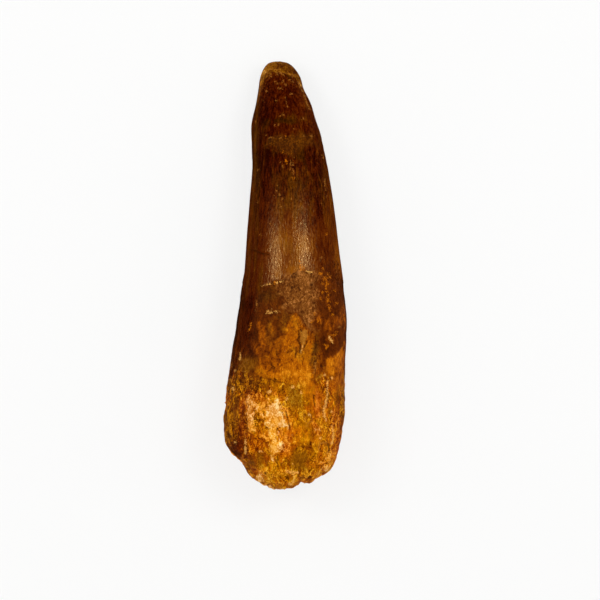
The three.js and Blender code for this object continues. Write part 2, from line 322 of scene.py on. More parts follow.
SPECK_SPOTS = [
    (-1.7, 38.6, 0.14), (-3.5, 38, 0.22), (-0.7, 37.8, 0.2), (-1.4, 37.6, 0.19), (-0.3, 37.5, 0.17),
    (-2.7, 37.1, 0.18), (1.1, 37, 0.14), (0.8, 36.5, 0.18), (-0.4, 36.2, 0.17), (-1.8, 36.1, 0.13),
    (1.4, 36.1, 0.18), (-1.4, 35.8, 0.2), (0.1, 35.6, 0.18), (-3.4, 34.3, 0.18), (1.1, 33.8, 0.18),
    (-1.7, 32.5, 0.18), (3.3, 29.2, 0.14), (-5.4, 28.6, 0.12), (1.7, 27.4, 0.1), (-3.7, 26, 0.1),
    (3.6, 25.9, 0.18), (5, 25.9, 0.2), (7, 22.3, 0.13), (1.8, 21.8, 0.12), (7.15, 21.8, 0.12),
    (-0.75, 21, 0.12), (-0.45, 20.2, 0.11), (-5.1, 19.6, 0.16), (-1.3, 16.6, 0.14), (7.6, 15.9, 0.12),
    (-1.65, 15.6, 0.13), (-1, 14.95, 0.14), (7.7, 14.7, 0.1), (-2, 14.6, 0.13), (1.3, 14.2, 0.1),
    (-0.6, 14.1, 0.13), (-5.15, 13.6, 0.12), (6.85, 13.1, 0.1), (-0.7, 12.8, 0.12), (-2.7, 9.4, 0.14),
    (-4.5, 7.4, 0.13), (6.8, 3.1, 0.14), (0.95, 2.3, 0.16), (-5.6, 0.8, 0.12), (8.1, -9, 0.15),
    (10.2, -9.7, 0.2), (0, -14.2, 0.12), (1.4, -29.7, 0.2), (-0.4, -34.9, 0.15),
]

# Saturated orange-gold flecks, lines and smears.
GOLD_STROKES = [
    (0.07, [(0.1, 21.3), (0.4, 20.7)]),
    (0.09, [(2.8, 2.5), (2.9, 1.7), (2.9, 0.9)]),
    (0.07, [(-6.3, -9), (-6.4, -9.7), (-6.7, -10.3)]),
    (0.02, [(7.6, -0.4), (7.6, -1.6), (7.8, -2.8), (8, -4), (8.3, -5), (8.1, -5.6), (8.4, -6.8)]),
    (0.12, [(8.8, -11.2), (9.3, -11.2), (9.7, -10.6)]),
    (0.16, [(7.4, -13.1), (7.7, -13.5), (7.9, -13.2)]),
    (0.12, [(8.1, -15.6), (8.3, -17), (8.2, -18)]),
    (0.35, [(-1.7, -26.5), (-1.5, -27.1)]),
    (0.3, [(-3.3, -29.1), (-3, -29.5)]),
    (0.3, [(-2.4, -31.8), (-1.9, -32.2)]),
    (0.3, [(4.9, -35), (5.4, -35.6)]),
    (0.25, [(6.1, -30.2), (6.4, -31)]),
]
GOLD_SPOTS = [
    (0, 25.8, 0.1), (-2.6, 24.6, 0.13), (-0.3, 22.9, 0.16), (0.8, 22.7, 0.14), (1.6, 18, 0.2),
    (7.7, 7.6, 0.18), (3.4, 1.1, 0.16), (7.1, 1.1, 0.2), (6.6, 0.2, 0.22), (8, 0.2, 0.2), (8.4, -0.4, 0.18),
    (7.5, -0.7, 0.3), (-1.9, -1.5, 0.22), (6.9, -1.6, 0.14), (7.8, -1.7, 0.24), (7.6, -3, 0.13),
    (9.2, -3, 0.14), (7, -3.2, 0.13), (8.1, -3.7, 0.17), (6.6, -4.4, 0.14), (8, -4.9, 0.17),
    (9.6, -5.2, 0.13), (8.3, -6.1, 0.2), (5.4, -7.2, 0.14), (8.9, -7.4, 0.18), (6.2, -8.6, 0.16),
    (5, -8.8, 0.16),
]

# Cracks and pits.
CRACK_STROKES = [
    (0.13, [(-6.9, 4.7), (-5.3, 4.35), (-4.5, 4), (-3.2, 3.75)]),
    (0.18, [(2.6, -10.3), (2.7, -11.2), (2.5, -12.2), (2.8, -13), (2.8, -14.2)]),
    (0.12, [(4.2, -12.3), (3.8, -13), (3.5, -13.6)]),
    (0.1, [(2.8, -10.2), (3.4, -9.9)]),
    (0.16, [(-2.6, -16.2), (-2.4, -16.8), (-2, -17.2), (-2.1, -17.9)]),
    (0.13, [(-2.4, -17.2), (-3.2, -17.8)]),
    (0.07, [(-5.3, -18.8), (-4.5, -19.2), (-3.5, -19.2), (-2.5, -19.4), (-2, -19.8), (0, -19.9)]),
    (0.1, [(2.1, -14.2), (2, -15.2)]),
    (0.1, [(1.6, -13.9), (0.4, -14.4)]),
    (0.12, [(0.1, -25.2), (0.9, -27.6), (1, -28.6)]),
    (0.12, [(-1.5, -34.2), (-1.3, -33.6)]),
    (0.12, [(5.3, -22), (5.6, -24.4)]),
    (0.12, [(8.2, -31.4), (8.4, -33)]),
]
CRACK_SPOTS = [
    (0.6, 37.3, 0.2), (1, 36.9, 0.18), (2.6, 36.9, 0.16), (0.6, 22, 0.14), (0.8, 21.2, 0.12),
    (5, -1.9, 0.3), (1.3, -2.4, 0.3), (3.1, -10.3, 0.22), (6.8, -16.8, 0.3), (-5.1, -18.8, 0.2),
    (-1.9, -19.4, 0.2), (-8.7, -33.4, 0.35), (-3.6, -36.8, 0.25), (2.5, -37.2, 0.15), (4.6, -37.5, 0.25),
    (0.4, -37.6, 0.3),
]

# A smooth tan remnant in the orange dentine.
TAN_OUTLINES = [
    [(3, -10.4), (3.8, -10.1), (4.3, -10.6), (4.2, -11.6), (3.8, -12.4), (3.4, -13.1), (2.9, -12.6),
     (2.8, -11.4)],
]

# Marks with crisp edges: their outlines, strokes and spots.
FINE_MARKS = {
    "tan": (TAN_OUTLINES, (), ()),
    "pale": ((), PALE_STROKES, PALE_SPOTS),
    "speck": ((), SPECK_STROKES, SPECK_SPOTS),
    "gold": ((), GOLD_STROKES, GOLD_SPOTS),
    "crack": ((), CRACK_STROKES, CRACK_SPOTS),
}

# A painted highlight along the left side of the crown, a thin golden line, as x by y.
PAINTED_HIGHLIGHT_Y = [-8, -4, 2, 5, 10, 12, 15, 18, 22, 26, 30]
PAINTED_HIGHLIGHT_X = [-13, -7.2, -6.7, -6.6, -6.3, -6.2, -5.9, -5.75, -5.6, -5.5, -5.3]
PAINTED_HIGHLIGHT_HALF_WIDTH = 0.2

# The lists from here to the skin are soft patches from the tip to the base: (x, y, half width, half
# length, amount).

# Colour of the neck, from dark brown to bright orange, on top of the outlines above.
HEAT = [
    (7.4, -1.2, 1, 1.8, 0.12), (6.4, -3.6, 0.9, 1.8, 0.02), (-4.5, -4.4, 1, 0.9, -0.12),
    (-2.6, -4.6, 2.8, 3, 0.05), (9, -5, 3, 6, 0.04), (-2.2, -6.2, 1, 0.8, 0.1), (9.4, -7.4, 1, 0.9, -0.15),
    (5.8, -8.2, 0.7, 1.1, 0.3), (-0.4, -9, 0.7, 1.4, 0.28), (1.5, -9, 0.7, 0.9, -0.1),
    (-3, -9.2, 2.6, 1.2, 0.06), (7.2, -9.2, 0.7, 0.7, -0.12), (8.4, -9.2, 1.2, 1.6, 0.28),
    (-6.4, -9.6, 0.25, 0.8, 0.3), (-4.9, -10.2, 0.6, 2, -0.2), (-2.2, -10.4, 0.9, 1.6, 0.1),
    (8.2, -10.4, 0.9, 1, 0.12), (5.4, -10.5, 0.8, 2.6, 0.1), (1.1, -11, 0.8, 0.7, -0.12),
    (9.4, -11.1, 0.6, 0.3, 0.25), (0.6, -12, 1.6, 2, -0.12), (4.6, -12, 0.7, 1.6, 0.08),
    (8.6, -12.1, 0.5, 0.7, 0.3), (0.6, -12.4, 0.6, 0.8, 0.14), (2, -12.5, 2.4, 3, -0.05),
    (-1.2, -12.6, 0.6, 0.9, -0.08), (-6, -12.8, 0.7, 1.2, 0.22), (-3.8, -13, 2, 1.4, -0.09),
    (-1.2, -13, 0.9, 1, -0.26), (7.6, -13.3, 0.4, 0.4, 0.3), (2.8, -13.6, 1.6, 1, -0.18),
    (10, -14, 1.2, 1, 0.14), (7.6, -14.6, 1.6, 1, 0.1), (-4.2, -15, 1.6, 1, -0.22),
    (8.8, -15, 0.8, 0.8, 0.12), (-4, -16, 1.4, 0.8, -0.14), (0.8, -16, 0.8, 1.4, -0.08),
    (5.8, -16, 0.7, 2.6, 0.12), (-3, -16.5, 2.6, 2, 0.1), (6.8, -17, 1.6, 2.4, 0.24),
    (-7.4, -17.2, 2, 1.4, 0.14), (-9.8, -17.5, 1, 1, -0.3), (-8.6, -18, 1.8, 0.8, -0.15),
    (0.3, -18, 0.7, 3, -0.12), (1.6, -18, 1.2, 1.2, 0.15), (9.6, -18, 0.8, 1.4, -0.12),
    (-2.5, -18.2, 2.4, 0.8, 0.12), (6.2, -18.2, 1, 0.8, 0.1), (8, -18.4, 0.7, 1, 0.12),
    (10, -18.4, 1.4, 1.8, -0.12), (-4.8, -18.5, 0.9, 0.7, 0.18), (4, -18.6, 1.2, 2, 0.08),
    (7.7, -18.8, 0.7, 0.7, 0.2), (5, -19, 0.8, 0.7, 0.12), (-8.3, -19.2, 0.8, 0.6, 0.2),
]

# Brightness of the enamel: its own tone, with painted light on its rims, painted sheen around and
# below the two highlights, and a painted reflection along the right margin of the crown.
ENAMEL_TONE_AND_PAINTED_LIGHT = [
    (-2, 35, 2, 2, 0.04), (1.8, 34, 1.4, 1.6, -0.12), (-3, 32.6, 0.9, 2.6, -0.12), (3.6, 32, 1, 4, 0.2),
    (-5.2, 31, 0.5, 1.6, -0.1), (-5.6, 30, 0.6, 1.6, -0.1), (-3.2, 30, 1.6, 2, -0.06),
    (-4.4, 29, 2, 4.5, -0.16), (-0.8, 28.7, 2.2, 0.4, -0.1), (-1, 28, 0.6, 1, -0.08),
    (1.5, 27.3, 3, 1.2, 0.1), (3.4, 26.5, 1.6, 2, -0.1), (-2.2, 25.2, 1, 1.4, -0.12),
    (-1.8, 24.9, 1.6, 0.3, -0.1), (-3.4, 22.6, 1.8, 1, -0.1), (-5.7, 21.8, 0.7, 2.2, -0.25),
    (-3.4, 21.5, 0.6, 2.4, -0.16), (4, 21.5, 0.8, 2, -0.12), (-5.7, 21.2, 0.6, 2, -0.15),
    (-1, 21, 4, 4, -0.08), (5.9, 21, 1, 3, -0.16), (-4.6, 19, 1.6, 6, -0.16), (-0.6, 17.3, 0.9, 1.2, 0.1),
    (2, 17.2, 1.2, 1, 0.12), (-3, 16.2, 0.9, 1.2, -0.1), (6.3, 15.5, 0.9, 3, -0.14),
    (0.4, 14.8, 2.4, 1.4, -0.07), (3.9, 12.5, 1, 2.4, 0.12), (8.4, 12, 0.9, 8, 0.2), (0.8, 11, 3, 5, 0.14),
    (-2, 10, 2, 2, -0.08), (3.6, 9.6, 1.2, 1.6, -0.1), (0.4, 7.2, 1.8, 1.8, 0.14), (5, 6.5, 0.7, 3, 0.1),
    (4.6, 6, 1, 2, 0.14), (3.3, 5.8, 0.6, 1.4, 0.1), (6.2, 5.3, 0.9, 0.9, -0.15), (6, 5, 1, 6, 0.04),
    (-2, 4.2, 0.8, 2, -0.08), (-5.4, 4, 1.2, 6, 0.02), (-3.4, 4, 0.8, 6, 0.1), (-1.6, 4, 1.6, 5.5, 0.24),
    (1.2, 4, 3.6, 6.5, 0.36), (3.4, 4, 1.6, 5, 0.22), (6.8, 4, 1.6, 7, 0.16), (9.9, 3, 0.9, 5, 0.65),
    (3.1, 2.4, 0.6, 0.8, -0.2), (5.5, 2.4, 0.7, 1.4, 0.1), (-4.5, 1.4, 1, 2, 0.12), (1.4, 0.6, 1.2, 1, 0.5),
    (-1.7, 0, 0.8, 0.9, 0.25), (8.8, 0, 0.9, 2.4, -0.22), (5.2, -1, 0.8, 0.8, 0.15),
    (-4.2, -4, 1.6, 3, 0.1), (10, -4, 0.9, 3, 0.2), (-7.4, -6, 1.1, 5, -0.2), (-9, -10, 0.8, 3, 0.12),
    (-7.6, -15.4, 1.6, 1.8, 0.3),
]

# Where the enamel's stripes fade.
CALM = [(0.5, 29, 4, 3, 0.3), (1, 3, 5.5, 9, 0.6), (-4, 2, 2.5, 8, 0.4)]

# Where the root's grain fades.
SOFT = [
    (-3, -20.5, 1.4, 1, 0.4), (5, -21.5, 1.8, 3, 0.6), (9.6, -22, 1, 3, 0.3), (6, -25, 0.9, 3, 0.4),
    (3.4, -28.8, 2.2, 2, 0.6), (2.4, -33.5, 2, 2, 0.3), (-3, -33.8, 2, 1, 0.4),
]

# Olive tone of the enamel, with a painted reflection: the lighter olive band along the crown's right margin.
OLIVE_AND_PAINTED_REFLECTION = [
    (-2.2, 33.4, 1.6, 3, -0.4), (-1.6, 33.2, 1.6, 0.8, -0.4), (1.8, 33, 0.8, 1, -0.4),
    (-2.9, 32.8, 0.9, 2.6, -0.9), (4, 32, 0.6, 2.5, 0.7), (1.2, 29, 2.2, 1, 0.8),
    (-0.8, 28.7, 2.2, 0.4, 0.7), (-3.3, 28, 1, 1, 0.5), (-4.7, 27, 0.7, 3, 0.4), (-6, 25.5, 0.5, 2.4, 0.4),
    (-5.6, 25.5, 0.8, 2.4, 0.4), (6.9, 25.5, 0.6, 2, 0.4), (2, 25, 5, 2, 0.4), (-1.6, 23, 1.2, 0.8, 0.4),
    (3, 22.2, 1, 1.2, 0.8), (7.4, 19, 0.9, 5, 0.5), (-4.8, 18.5, 0.8, 2, 0.3), (-1, 18, 1.6, 3, 0.4),
    (-5.3, 17.5, 0.9, 3, 0.5), (2.4, 16.9, 1.4, 1, 0.4), (2.5, 16, 4, 5, 0.45),
    (-3.1, 15.8, 0.9, 1.2, -0.6), (-2.4, 15, 1, 1.6, -0.3), (0.5, 15, 0.8, 1.4, -0.3),
    (3, 13.5, 1.6, 1.6, -0.25), (4.7, 12.5, 0.9, 3, 0.4), (-5.4, 12, 0.8, 10, 0.35), (8.5, 12, 0.8, 8, 0.5),
    (3.6, 9.6, 1.2, 1.6, -0.3), (-2.6, 9.5, 1.2, 1.2, -0.2), (-2, 9.5, 1, 1.2, -0.3), (1, 9, 4, 8, 0.35),
    (3.4, 9, 1, 1.2, -0.4), (6.8, 5.5, 0.8, 1.2, -0.4), (3.3, 5.2, 0.8, 1.2, 0.4), (1, 5, 1.6, 2, 0.3),
    (7.8, 5, 0.9, 3, -0.2), (7.8, 3.5, 0.9, 3.5, -0.3), (8, 2.4, 0.8, 1.6, -0.4), (-5, 1, 1, 4, 0.3),
    (-3, -4, 2.6, 3, 0.4), (9.4, -5, 1, 3, -0.3), (9.6, -5, 1.2, 3, -0.6), (-7.8, -8, 1.6, 7, -0.15),
    (1.5, -8.5, 3, 2, 0.4), (-0.6, -9, 1, 2, 0.3), (-2.9, -10.8, 0.8, 2.4, 0.5), (10, -11.5, 1, 2.5, -0.5),
    (10, -12, 1.2, 3, -0.6), (1.6, -14, 3.6, 3, 0.2), (5.6, -14, 0.8, 4.2, 0.5), (-9.3, -15, 0.9, 4, -0.6),
    (-2, -15, 3, 2, 0.2), (4, -15, 2.4, 2, 0.3), (-8.6, -15.5, 1, 3, -0.4), (-7, -16.6, 1.2, 1.6, 0.6),
    (-9.6, -17.2, 0.9, 1.2, -0.6), (-4.5, -18.2, 1.6, 0.8, 0.5),
]

# Brightness of the root, the purple-brown patch and the cap: their own tone, with a painted highlight
# where the right highlight runs on below the enamel edge, and painted shade along the lower left rim
# and in the hollow at the lower left corner.
BRIGHTNESS_AND_PAINTED_LIGHT = [
    (-1.2, 38.9, 2.2, 0.7, -0.16), (1.5, 38.5, 1.4, 1.2, -0.28), (-4.3, 37.6, 0.8, 1.6, 0.12),
    (2.6, 37.4, 0.6, 0.7, 0.15), (3, 36, 0.6, 1, 0.1), (2.2, 0.3, 1, 0.6, 0.4), (4.9, -1.6, 1.1, 1.3, 0.3),
    (2.8, -1.8, 1.1, 0.6, -0.2), (1.1, -3, 0.9, 1, -0.2), (3, -4, 1.2, 1.2, 0.08),
    (5.2, -5.2, 1, 0.8, 0.15), (1, -5.8, 0.9, 0.7, -0.2), (5.5, -8.4, 0.7, 0.8, 0.15),
    (11.2, -13.6, 0.5, 1.2, 0.2), (-9.8, -17.9, 0.9, 0.9, -0.3), (3, -18, 3, 2, 0.05),
    (6.2, -18.6, 1, 0.9, 0.18), (-8.2, -18.8, 1.6, 0.7, -0.2), (-6.2, -20.2, 2.6, 1.6, -0.36),
    (7.5, -20.2, 0.8, 0.5, -0.2), (0.6, -20.4, 0.9, 0.6, -0.2), (-10.4, -20.5, 1.4, 3.6, -0.3),
    (3, -20.5, 1.4, 0.7, 0.15), (-1, -20.6, 1.2, 1.2, 0.14), (7.6, -20.9, 0.9, 1.4, -0.2),
    (-9.5, -21, 0.8, 0.8, 0.15), (-4.4, -21, 0.6, 1.2, -0.12), (-8.5, -21.2, 0.8, 0.6, -0.15),
    (4, -21.5, 1.4, 1, 0.2), (9, -21.5, 0.6, 0.7, 0.2), (-5, -21.8, 0.9, 0.8, -0.25),
    (-3.6, -22, 1, 0.9, 0.12), (10.4, -22.3, 0.6, 1.4, -0.06), (6.6, -22.6, 0.7, 0.8, -0.2),
    (-2, -23, 0.8, 1.6, 0.1), (2, -23, 1.4, 2, -0.04), (5.8, -23.2, 0.8, 0.6, 0.2),
    (-1, -23.4, 0.5, 1.6, 0.12), (4.6, -23.5, 0.7, 0.8, -0.12), (5.6, -23.8, 0.8, 0.8, 0.2),
    (6.6, -24.8, 0.7, 0.7, -0.15), (-9, -25, 1.6, 4, -0.15), (-3.5, -25, 0.6, 1, 0.15),
    (0.4, -25, 0.6, 1, -0.15), (7.4, -25.3, 0.6, 0.8, 0.2), (-1, -25.4, 0.9, 1.2, 0.2),
    (-9.9, -25.8, 0.7, 1, 0.15), (-4.8, -26.4, 0.8, 0.9, -0.42), (2.8, -26.4, 0.7, 0.6, -0.15),
    (8.6, -26.6, 0.8, 1.2, -0.12), (9, -26.6, 1, 1.4, -0.12), (10.7, -27, 0.4, 1.2, 0.12),
    (10.8, -27, 0.7, 6, -0.2), (0.5, -27.2, 0.8, 0.8, 0.15), (-7.2, -27.5, 1.4, 2.6, -0.18),
    (1.6, -27.6, 1, 0.8, 0.12), (-2.2, -27.9, 1.6, 0.8, -0.1), (-11, -28, 0.7, 5, -0.15),
    (-8.8, -28, 0.8, 0.8, -0.12), (4, -28, 3, 3, 0.05), (7.3, -28, 0.6, 0.8, 0.2),
    (5.4, -28.6, 0.8, 0.8, -0.15), (-3, -29, 1, 0.8, 0.32), (1.8, -29.3, 0.8, 0.7, -0.12),
    (-10, -29.8, 0.8, 0.8, 0.1), (-5, -30, 2, 0.8, -0.15), (-0.6, -30, 1.3, 1.2, 0.3),
    (-4.6, -30.4, 1.2, 0.8, -0.1), (4, -30.4, 0.9, 0.6, 0.2), (6.6, -30.6, 1.2, 1, 0.2),
    (-0.9, -30.7, 0.8, 0.6, 0.14), (-6.6, -31.2, 0.7, 0.8, 0.16), (-9, -31.5, 1.6, 3, -0.6),
    (-3.4, -31.9, 0.8, 0.7, 0.18), (-8.3, -32, 0.8, 1, -0.2), (6, -32, 1, 1.6, 0.15),
    (-0.5, -32.2, 0.6, 0.7, -0.25), (3.2, -32.4, 1.2, 0.8, -0.12), (9.8, -32.4, 0.8, 2, -0.28),
    (-6.4, -33, 0.8, 0.7, -0.18), (0.4, -33, 1.4, 0.5, 0.15), (7, -33, 2.5, 4, 0.06),
    (6, -33.2, 0.8, 0.8, 0.15), (-5, -33.5, 2, 2, -0.2), (-2, -33.5, 1, 0.7, -0.15),
    (-8.6, -33.6, 1.2, 1, -0.2), (2.6, -34.2, 1.8, 1.8, -0.2), (-7, -34.3, 0.6, 0.6, 0.2),
    (4.8, -34.3, 1.2, 1, -0.2), (-1.9, -34.8, 0.6, 0.8, -0.2), (9.4, -35, 0.8, 1.6, 0.12),
    (-3, -35.4, 1.6, 1.2, 0.36), (6.6, -35.5, 0.8, 0.7, -0.22), (-7.4, -36.6, 0.7, 1.6, -0.5),
    (-5, -37.2, 0.6, 0.9, 0.1), (1.3, -37.6, 0.6, 1.2, 0.12), (4.4, -37.6, 0.8, 0.7, -0.15),
    (-0.8, -38, 0.4, 1.2, -0.15), (0, -38, 5, 1.6, 0.12), (-6.2, -38.2, 0.6, 0.8, -0.4),
    (-2.1, -38.5, 0.6, 0.8, 0.2),
]

# Redness of the root, against olive.
REDNESS = [
    (9, -17, 2, 3, 0.5), (-9.8, -18, 0.9, 0.9, 0.6), (5, -20, 2, 1.4, 0.3), (7.5, -20, 1, 0.8, 0.5),
    (-4, -20.2, 4, 1.4, -0.6), (8, -21, 1, 3, 0.1), (-10, -22, 1.6, 4, -0.4), (-10.8, -22.8, 0.6, 1.6, 0.6),
    (-5, -23, 4, 2.2, 0.35), (2, -23, 1.8, 2.6, -0.5), (6, -24, 1.2, 3, 0.6), (-11.1, -24.5, 0.5, 1.4, 0.4),
    (10.8, -25, 0.6, 2.5, -0.9), (-9.6, -26, 1.4, 2.5, -0.4), (9, -27, 1.2, 3, 0.2), (4, -27.4, 2, 2, -0.3),
    (-8, -27.5, 1.2, 4, 0.35), (-11.1, -29, 0.6, 2.5, -1), (2.4, -29.4, 1.2, 0.8, 0.4),
    (0.6, -29.5, 1.6, 4, 0.5), (-4.6, -30, 3, 1.6, 0.35), (9.4, -30.5, 1.2, 4, 0.25),
    (-4.6, -31, 2, 1.6, 0.3), (10, -31, 1.2, 4, 0.5), (-5, -31.5, 4, 2, 0.3), (-8.4, -32, 0.9, 1, 0.7),
    (-1, -32.3, 1, 0.8, 0.6), (-6.8, -32.5, 2.4, 2, 0.3), (0.2, -33, 1.6, 0.8, 0.6),
    (8.6, -33.4, 1.5, 1.5, 0.3), (2.6, -34, 2.4, 2.2, -0.5), (-2.2, -34.2, 1.4, 0.8, 0.4),
    (6.4, -36, 1.4, 2, 0.3), (-5, -37, 2, 1.6, 0.4), (3, -38, 2.5, 0.9, 0.3), (4, -38.8, 1.4, 0.7, 0.4),
]

# Pinkness of the crust, against cream.
PINK = [
    (-2.2, -24.2, 1, 1, 0.2), (-6.4, -24.6, 1, 2.4, 1.2), (-3.2, -25.2, 1, 0.8, 0.5),
    (-1.2, -25.2, 1.3, 1.6, 0.6), (-0.4, -27.6, 0.8, 0.8, 0.8), (-0.5, -32.2, 0.7, 0.8, 0.8),
]


# ---------------------------------------------------------------- skin

def surface_tree(node):
    """A ray-casting tree over a CAD node, in millimetres."""
    points = [vertex.co / MM for vertex in node.data.vertices]
    faces = [tuple(face.vertices) for face in node.data.polygons]
    return BVHTree.FromPolygons(points, faces)


def column_angles():
    """Angles about the long axis, from +X through +Z, closer together on the upper half."""
    on_top = round(COLUMNS * TOP_SHARE)
    below = COLUMNS - on_top
    top = np.arange(on_top) / on_top * math.pi
    under = math.pi + np.arange(below) / below * math.pi
    return np.concatenate([top, under])


def row_lines():
    """For every row, the centre its rays start from, and how far they lean towards the base or tip."""
    along = np.linspace(BASE_CENTRE_Y, TIP_CENTRE_Y, ROWS - BASE_CAP_ROWS - TIP_CAP_ROWS)
    base_lean = -90 * (1 - (np.arange(BASE_CAP_ROWS) + 0.5) / BASE_CAP_ROWS)
    tip_lean = 90 * (np.arange(TIP_CAP_ROWS) + 0.5) / TIP_CAP_ROWS
    y = np.concatenate([np.full(BASE_CAP_ROWS, BASE_CENTRE_Y), along, np.full(TIP_CAP_ROWS, TIP_CENTRE_Y)])
    lean = np.radians(np.concatenate([base_lean, np.zeros(len(along)), tip_lean]))
    x = np.interp(y, SPINE_Y, SPINE_X)
    z = np.interp(y, SPINE_Y, SPINE_Z)
    return np.stack([x, y, z], axis=1), lean


def blur(values, rows, columns):
    """Smooths a grid along its rows, and around its columns, which close on themselves."""
    for axis, spread, mode in ((0, rows, "edge"), (1, columns, "wrap")):
        reach = int(3 * spread)
        steps = np.arange(-reach, reach + 1)
        weights = np.exp(-(steps ** 2) / (2 * spread ** 2))
        weights /= weights.sum()
        pads = [(0, 0), (0, 0)]
        pads[axis] = (reach, reach)
        padded = np.pad(values, pads, mode=mode)
        length = values.shape[axis]
        values = sum(
            weight * np.take(padded, np.arange(start, start + length), axis=axis)
            for start, weight in enumerate(weights)
        )
    return values


def base_skin(node):
    """The smooth tooth as a grid of points (row, column, xyz) in millimetres."""
    tree = surface_tree(node)
    centres, lean = row_lines()
    angles = column_angles()
    reach = np.zeros((ROWS, COLUMNS))
    directions = np.zeros((ROWS, COLUMNS, 3))
    for row in range(ROWS):
        flat = math.cos(lean[row])
        directions[row, :, 0] = flat * np.cos(angles)
        directions[row, :, 1] = math.sin(lean[row])
        directions[row, :, 2] = flat * np.sin(angles)
        start = Vector(centres[row])
        for column in range(COLUMNS):
            reach[row, column] = tree.ray_cast(start, Vector(directions[row, column]))[3]
    reach = blur(reach, SMOOTH_ROWS, SMOOTH_COLUMNS)
    return centres[:, None, :] + reach[:, :, None] * directions


# Small trims of the outline, in millimetres: sideways by y on each side, and lengthways by x at each end.
LEFT_TRIM = [
    (-40, 0.5), (-38.2, -0.14), (-36.8, 0.05), (-35.8, 0), (-35, 0.3), (-33, 0.25), (-31.5, 0.15),
    (-29, 0.12), (-26.8, 0.05), (-25.4, 0.16), (-24.4, 0.3), (-22.5, 0.1), (-20, 0.08), (-17.5, 0),
    (-15, -0.15), (-11, -0.16), (-8, -0.36), (-4, -0.4), (-1.5, -0.1), (0.5, 0.1), (8, -0.06), (15, -0.12),
    (21, 0.08), (24, -0.08), (37, -0.08), (39, -0.25),
]
RIGHT_TRIM = [
    (-38, -0.2), (-36, -0.38), (-32, -0.36), (-29, -0.3), (-26, -0.05), (-22, -0.1), (-18, 0.08),
    (-13, 0.06), (-11, 0.04), (-8.5, 0.18), (-2, 0.24), (0.5, 0), (3, -0.1), (9, -0.08), (17, -0.12),
    (21, -0.1), (24, 0.12), (26, 0.1), (28, 0.05), (33, 0.12), (36, 0.2), (38.5, -0.05),
]
BASE_TRIM = [
    (-7.2, 0.1), (-6, 0.3), (-5.2, 0.45), (-4.4, 0.3), (-3.4, 0.1), (-1.9, -0.25), (0, -0.1), (1.2, 0.05),
    (2.2, 0.25), (2.9, 0.75), (3.8, 0.3), (4.6, 0.1), (5.8, 0.8), (6.8, 0.9), (7.8, 0.55), (9, 0.2),
]
TIP_TRIM = [(-5, 0), (-4, 0.25), (-3, 0.45), (-1.2, 0.18), (0.5, 0.38), (2, 0.26), (3.2, 0.1)]


def trimmed(points, normals):
    """The skin with its outline from above trimmed."""
    x = points[..., 0]
    y = points[..., 1]
    to_left = smooth(-normals[..., 0], 0.2, 0.8)
    to_right = smooth(normals[..., 0], 0.2, 0.8)
    to_base = smooth(-normals[..., 1], 0.3, 0.8)
    to_tip = smooth(normals[..., 1], 0.4, 0.9)
    moved = points.copy()
    moved[..., 0] += to_left * np.interp(y, *zip(*LEFT_TRIM)) + to_right * np.interp(y, *zip(*RIGHT_TRIM))
    moved[..., 1] += to_base * np.interp(x, *zip(*BASE_TRIM)) + to_tip * np.interp(x, *zip(*TIP_TRIM))
    return moved


def grid_normals(points):
    """The outward normal at every point of the grid."""
    along = np.gradient(points, axis=0)
    around = np.roll(points, -1, axis=1) - np.roll(points, 1, axis=1)
    normals = np.cross(along, around)
    return normals / np.maximum(np.linalg.norm(normals, axis=2, keepdims=True), 1e-9)


# Start of the root on the top face.
ROOT_LINE_X = [-12, -9.5, -8, -5, 0, 1.5, 3, 5, 7, 9, 12]
ROOT_LINE_Y = [-17.5, -17.6, -18.2, -18.9, -19.8, -19.6, -20.6, -21.4, -18.7, -20, -20.4]
# Around the sides and the underside: the enamel edge and the start of the root, how far they wave, the
# limit of the cap, the middles of the band, the purple-brown patches and the neck, and the lines where
# the crust and the rust begin to fade.
SIDE_EDGE_Y = -1.4
SIDE_EDGE_WAVE = 1.3
SIDE_ROOT_Y = -17.5
SIDE_ROOT_WAVE = 2.4
SIDE_CAP_Y = 37.5
SIDE_BAND_Y = 24.3
SIDE_MOTTLE_Y = -5
NECK_Y = -14
SIDE_CRUST_Y = -24
SIDE_RUST_Y = -20
# The sand in the pulp hollow at the break, as x and z: its middle, and its half width and half height.
HOLLOW = (-0.7, 9.4)
HOLLOW_HALF = (5.2, 4.6)
# The break is all that lies beyond this y and faces the base.
BREAK_Y = -34.5


def bareness(places):
    """How far the neck goes from dark brown, 0, to bright orange, 1, on the face that is up."""
    amber = smooth(depth_in(places, AMBER_OUTLINES), -0.5, 0.5)
    orange = smooth(depth_in(places, ORANGE_OUTLINES), -0.3, 0.4)
    dark = smooth(depth_in(places, DARK_OUTLINES), -0.4, 0.6)
    return 0.17 + np.maximum(0.33 * amber, 0.55 * orange) - 0.12 * dark + soft_spots(places, HEAT)


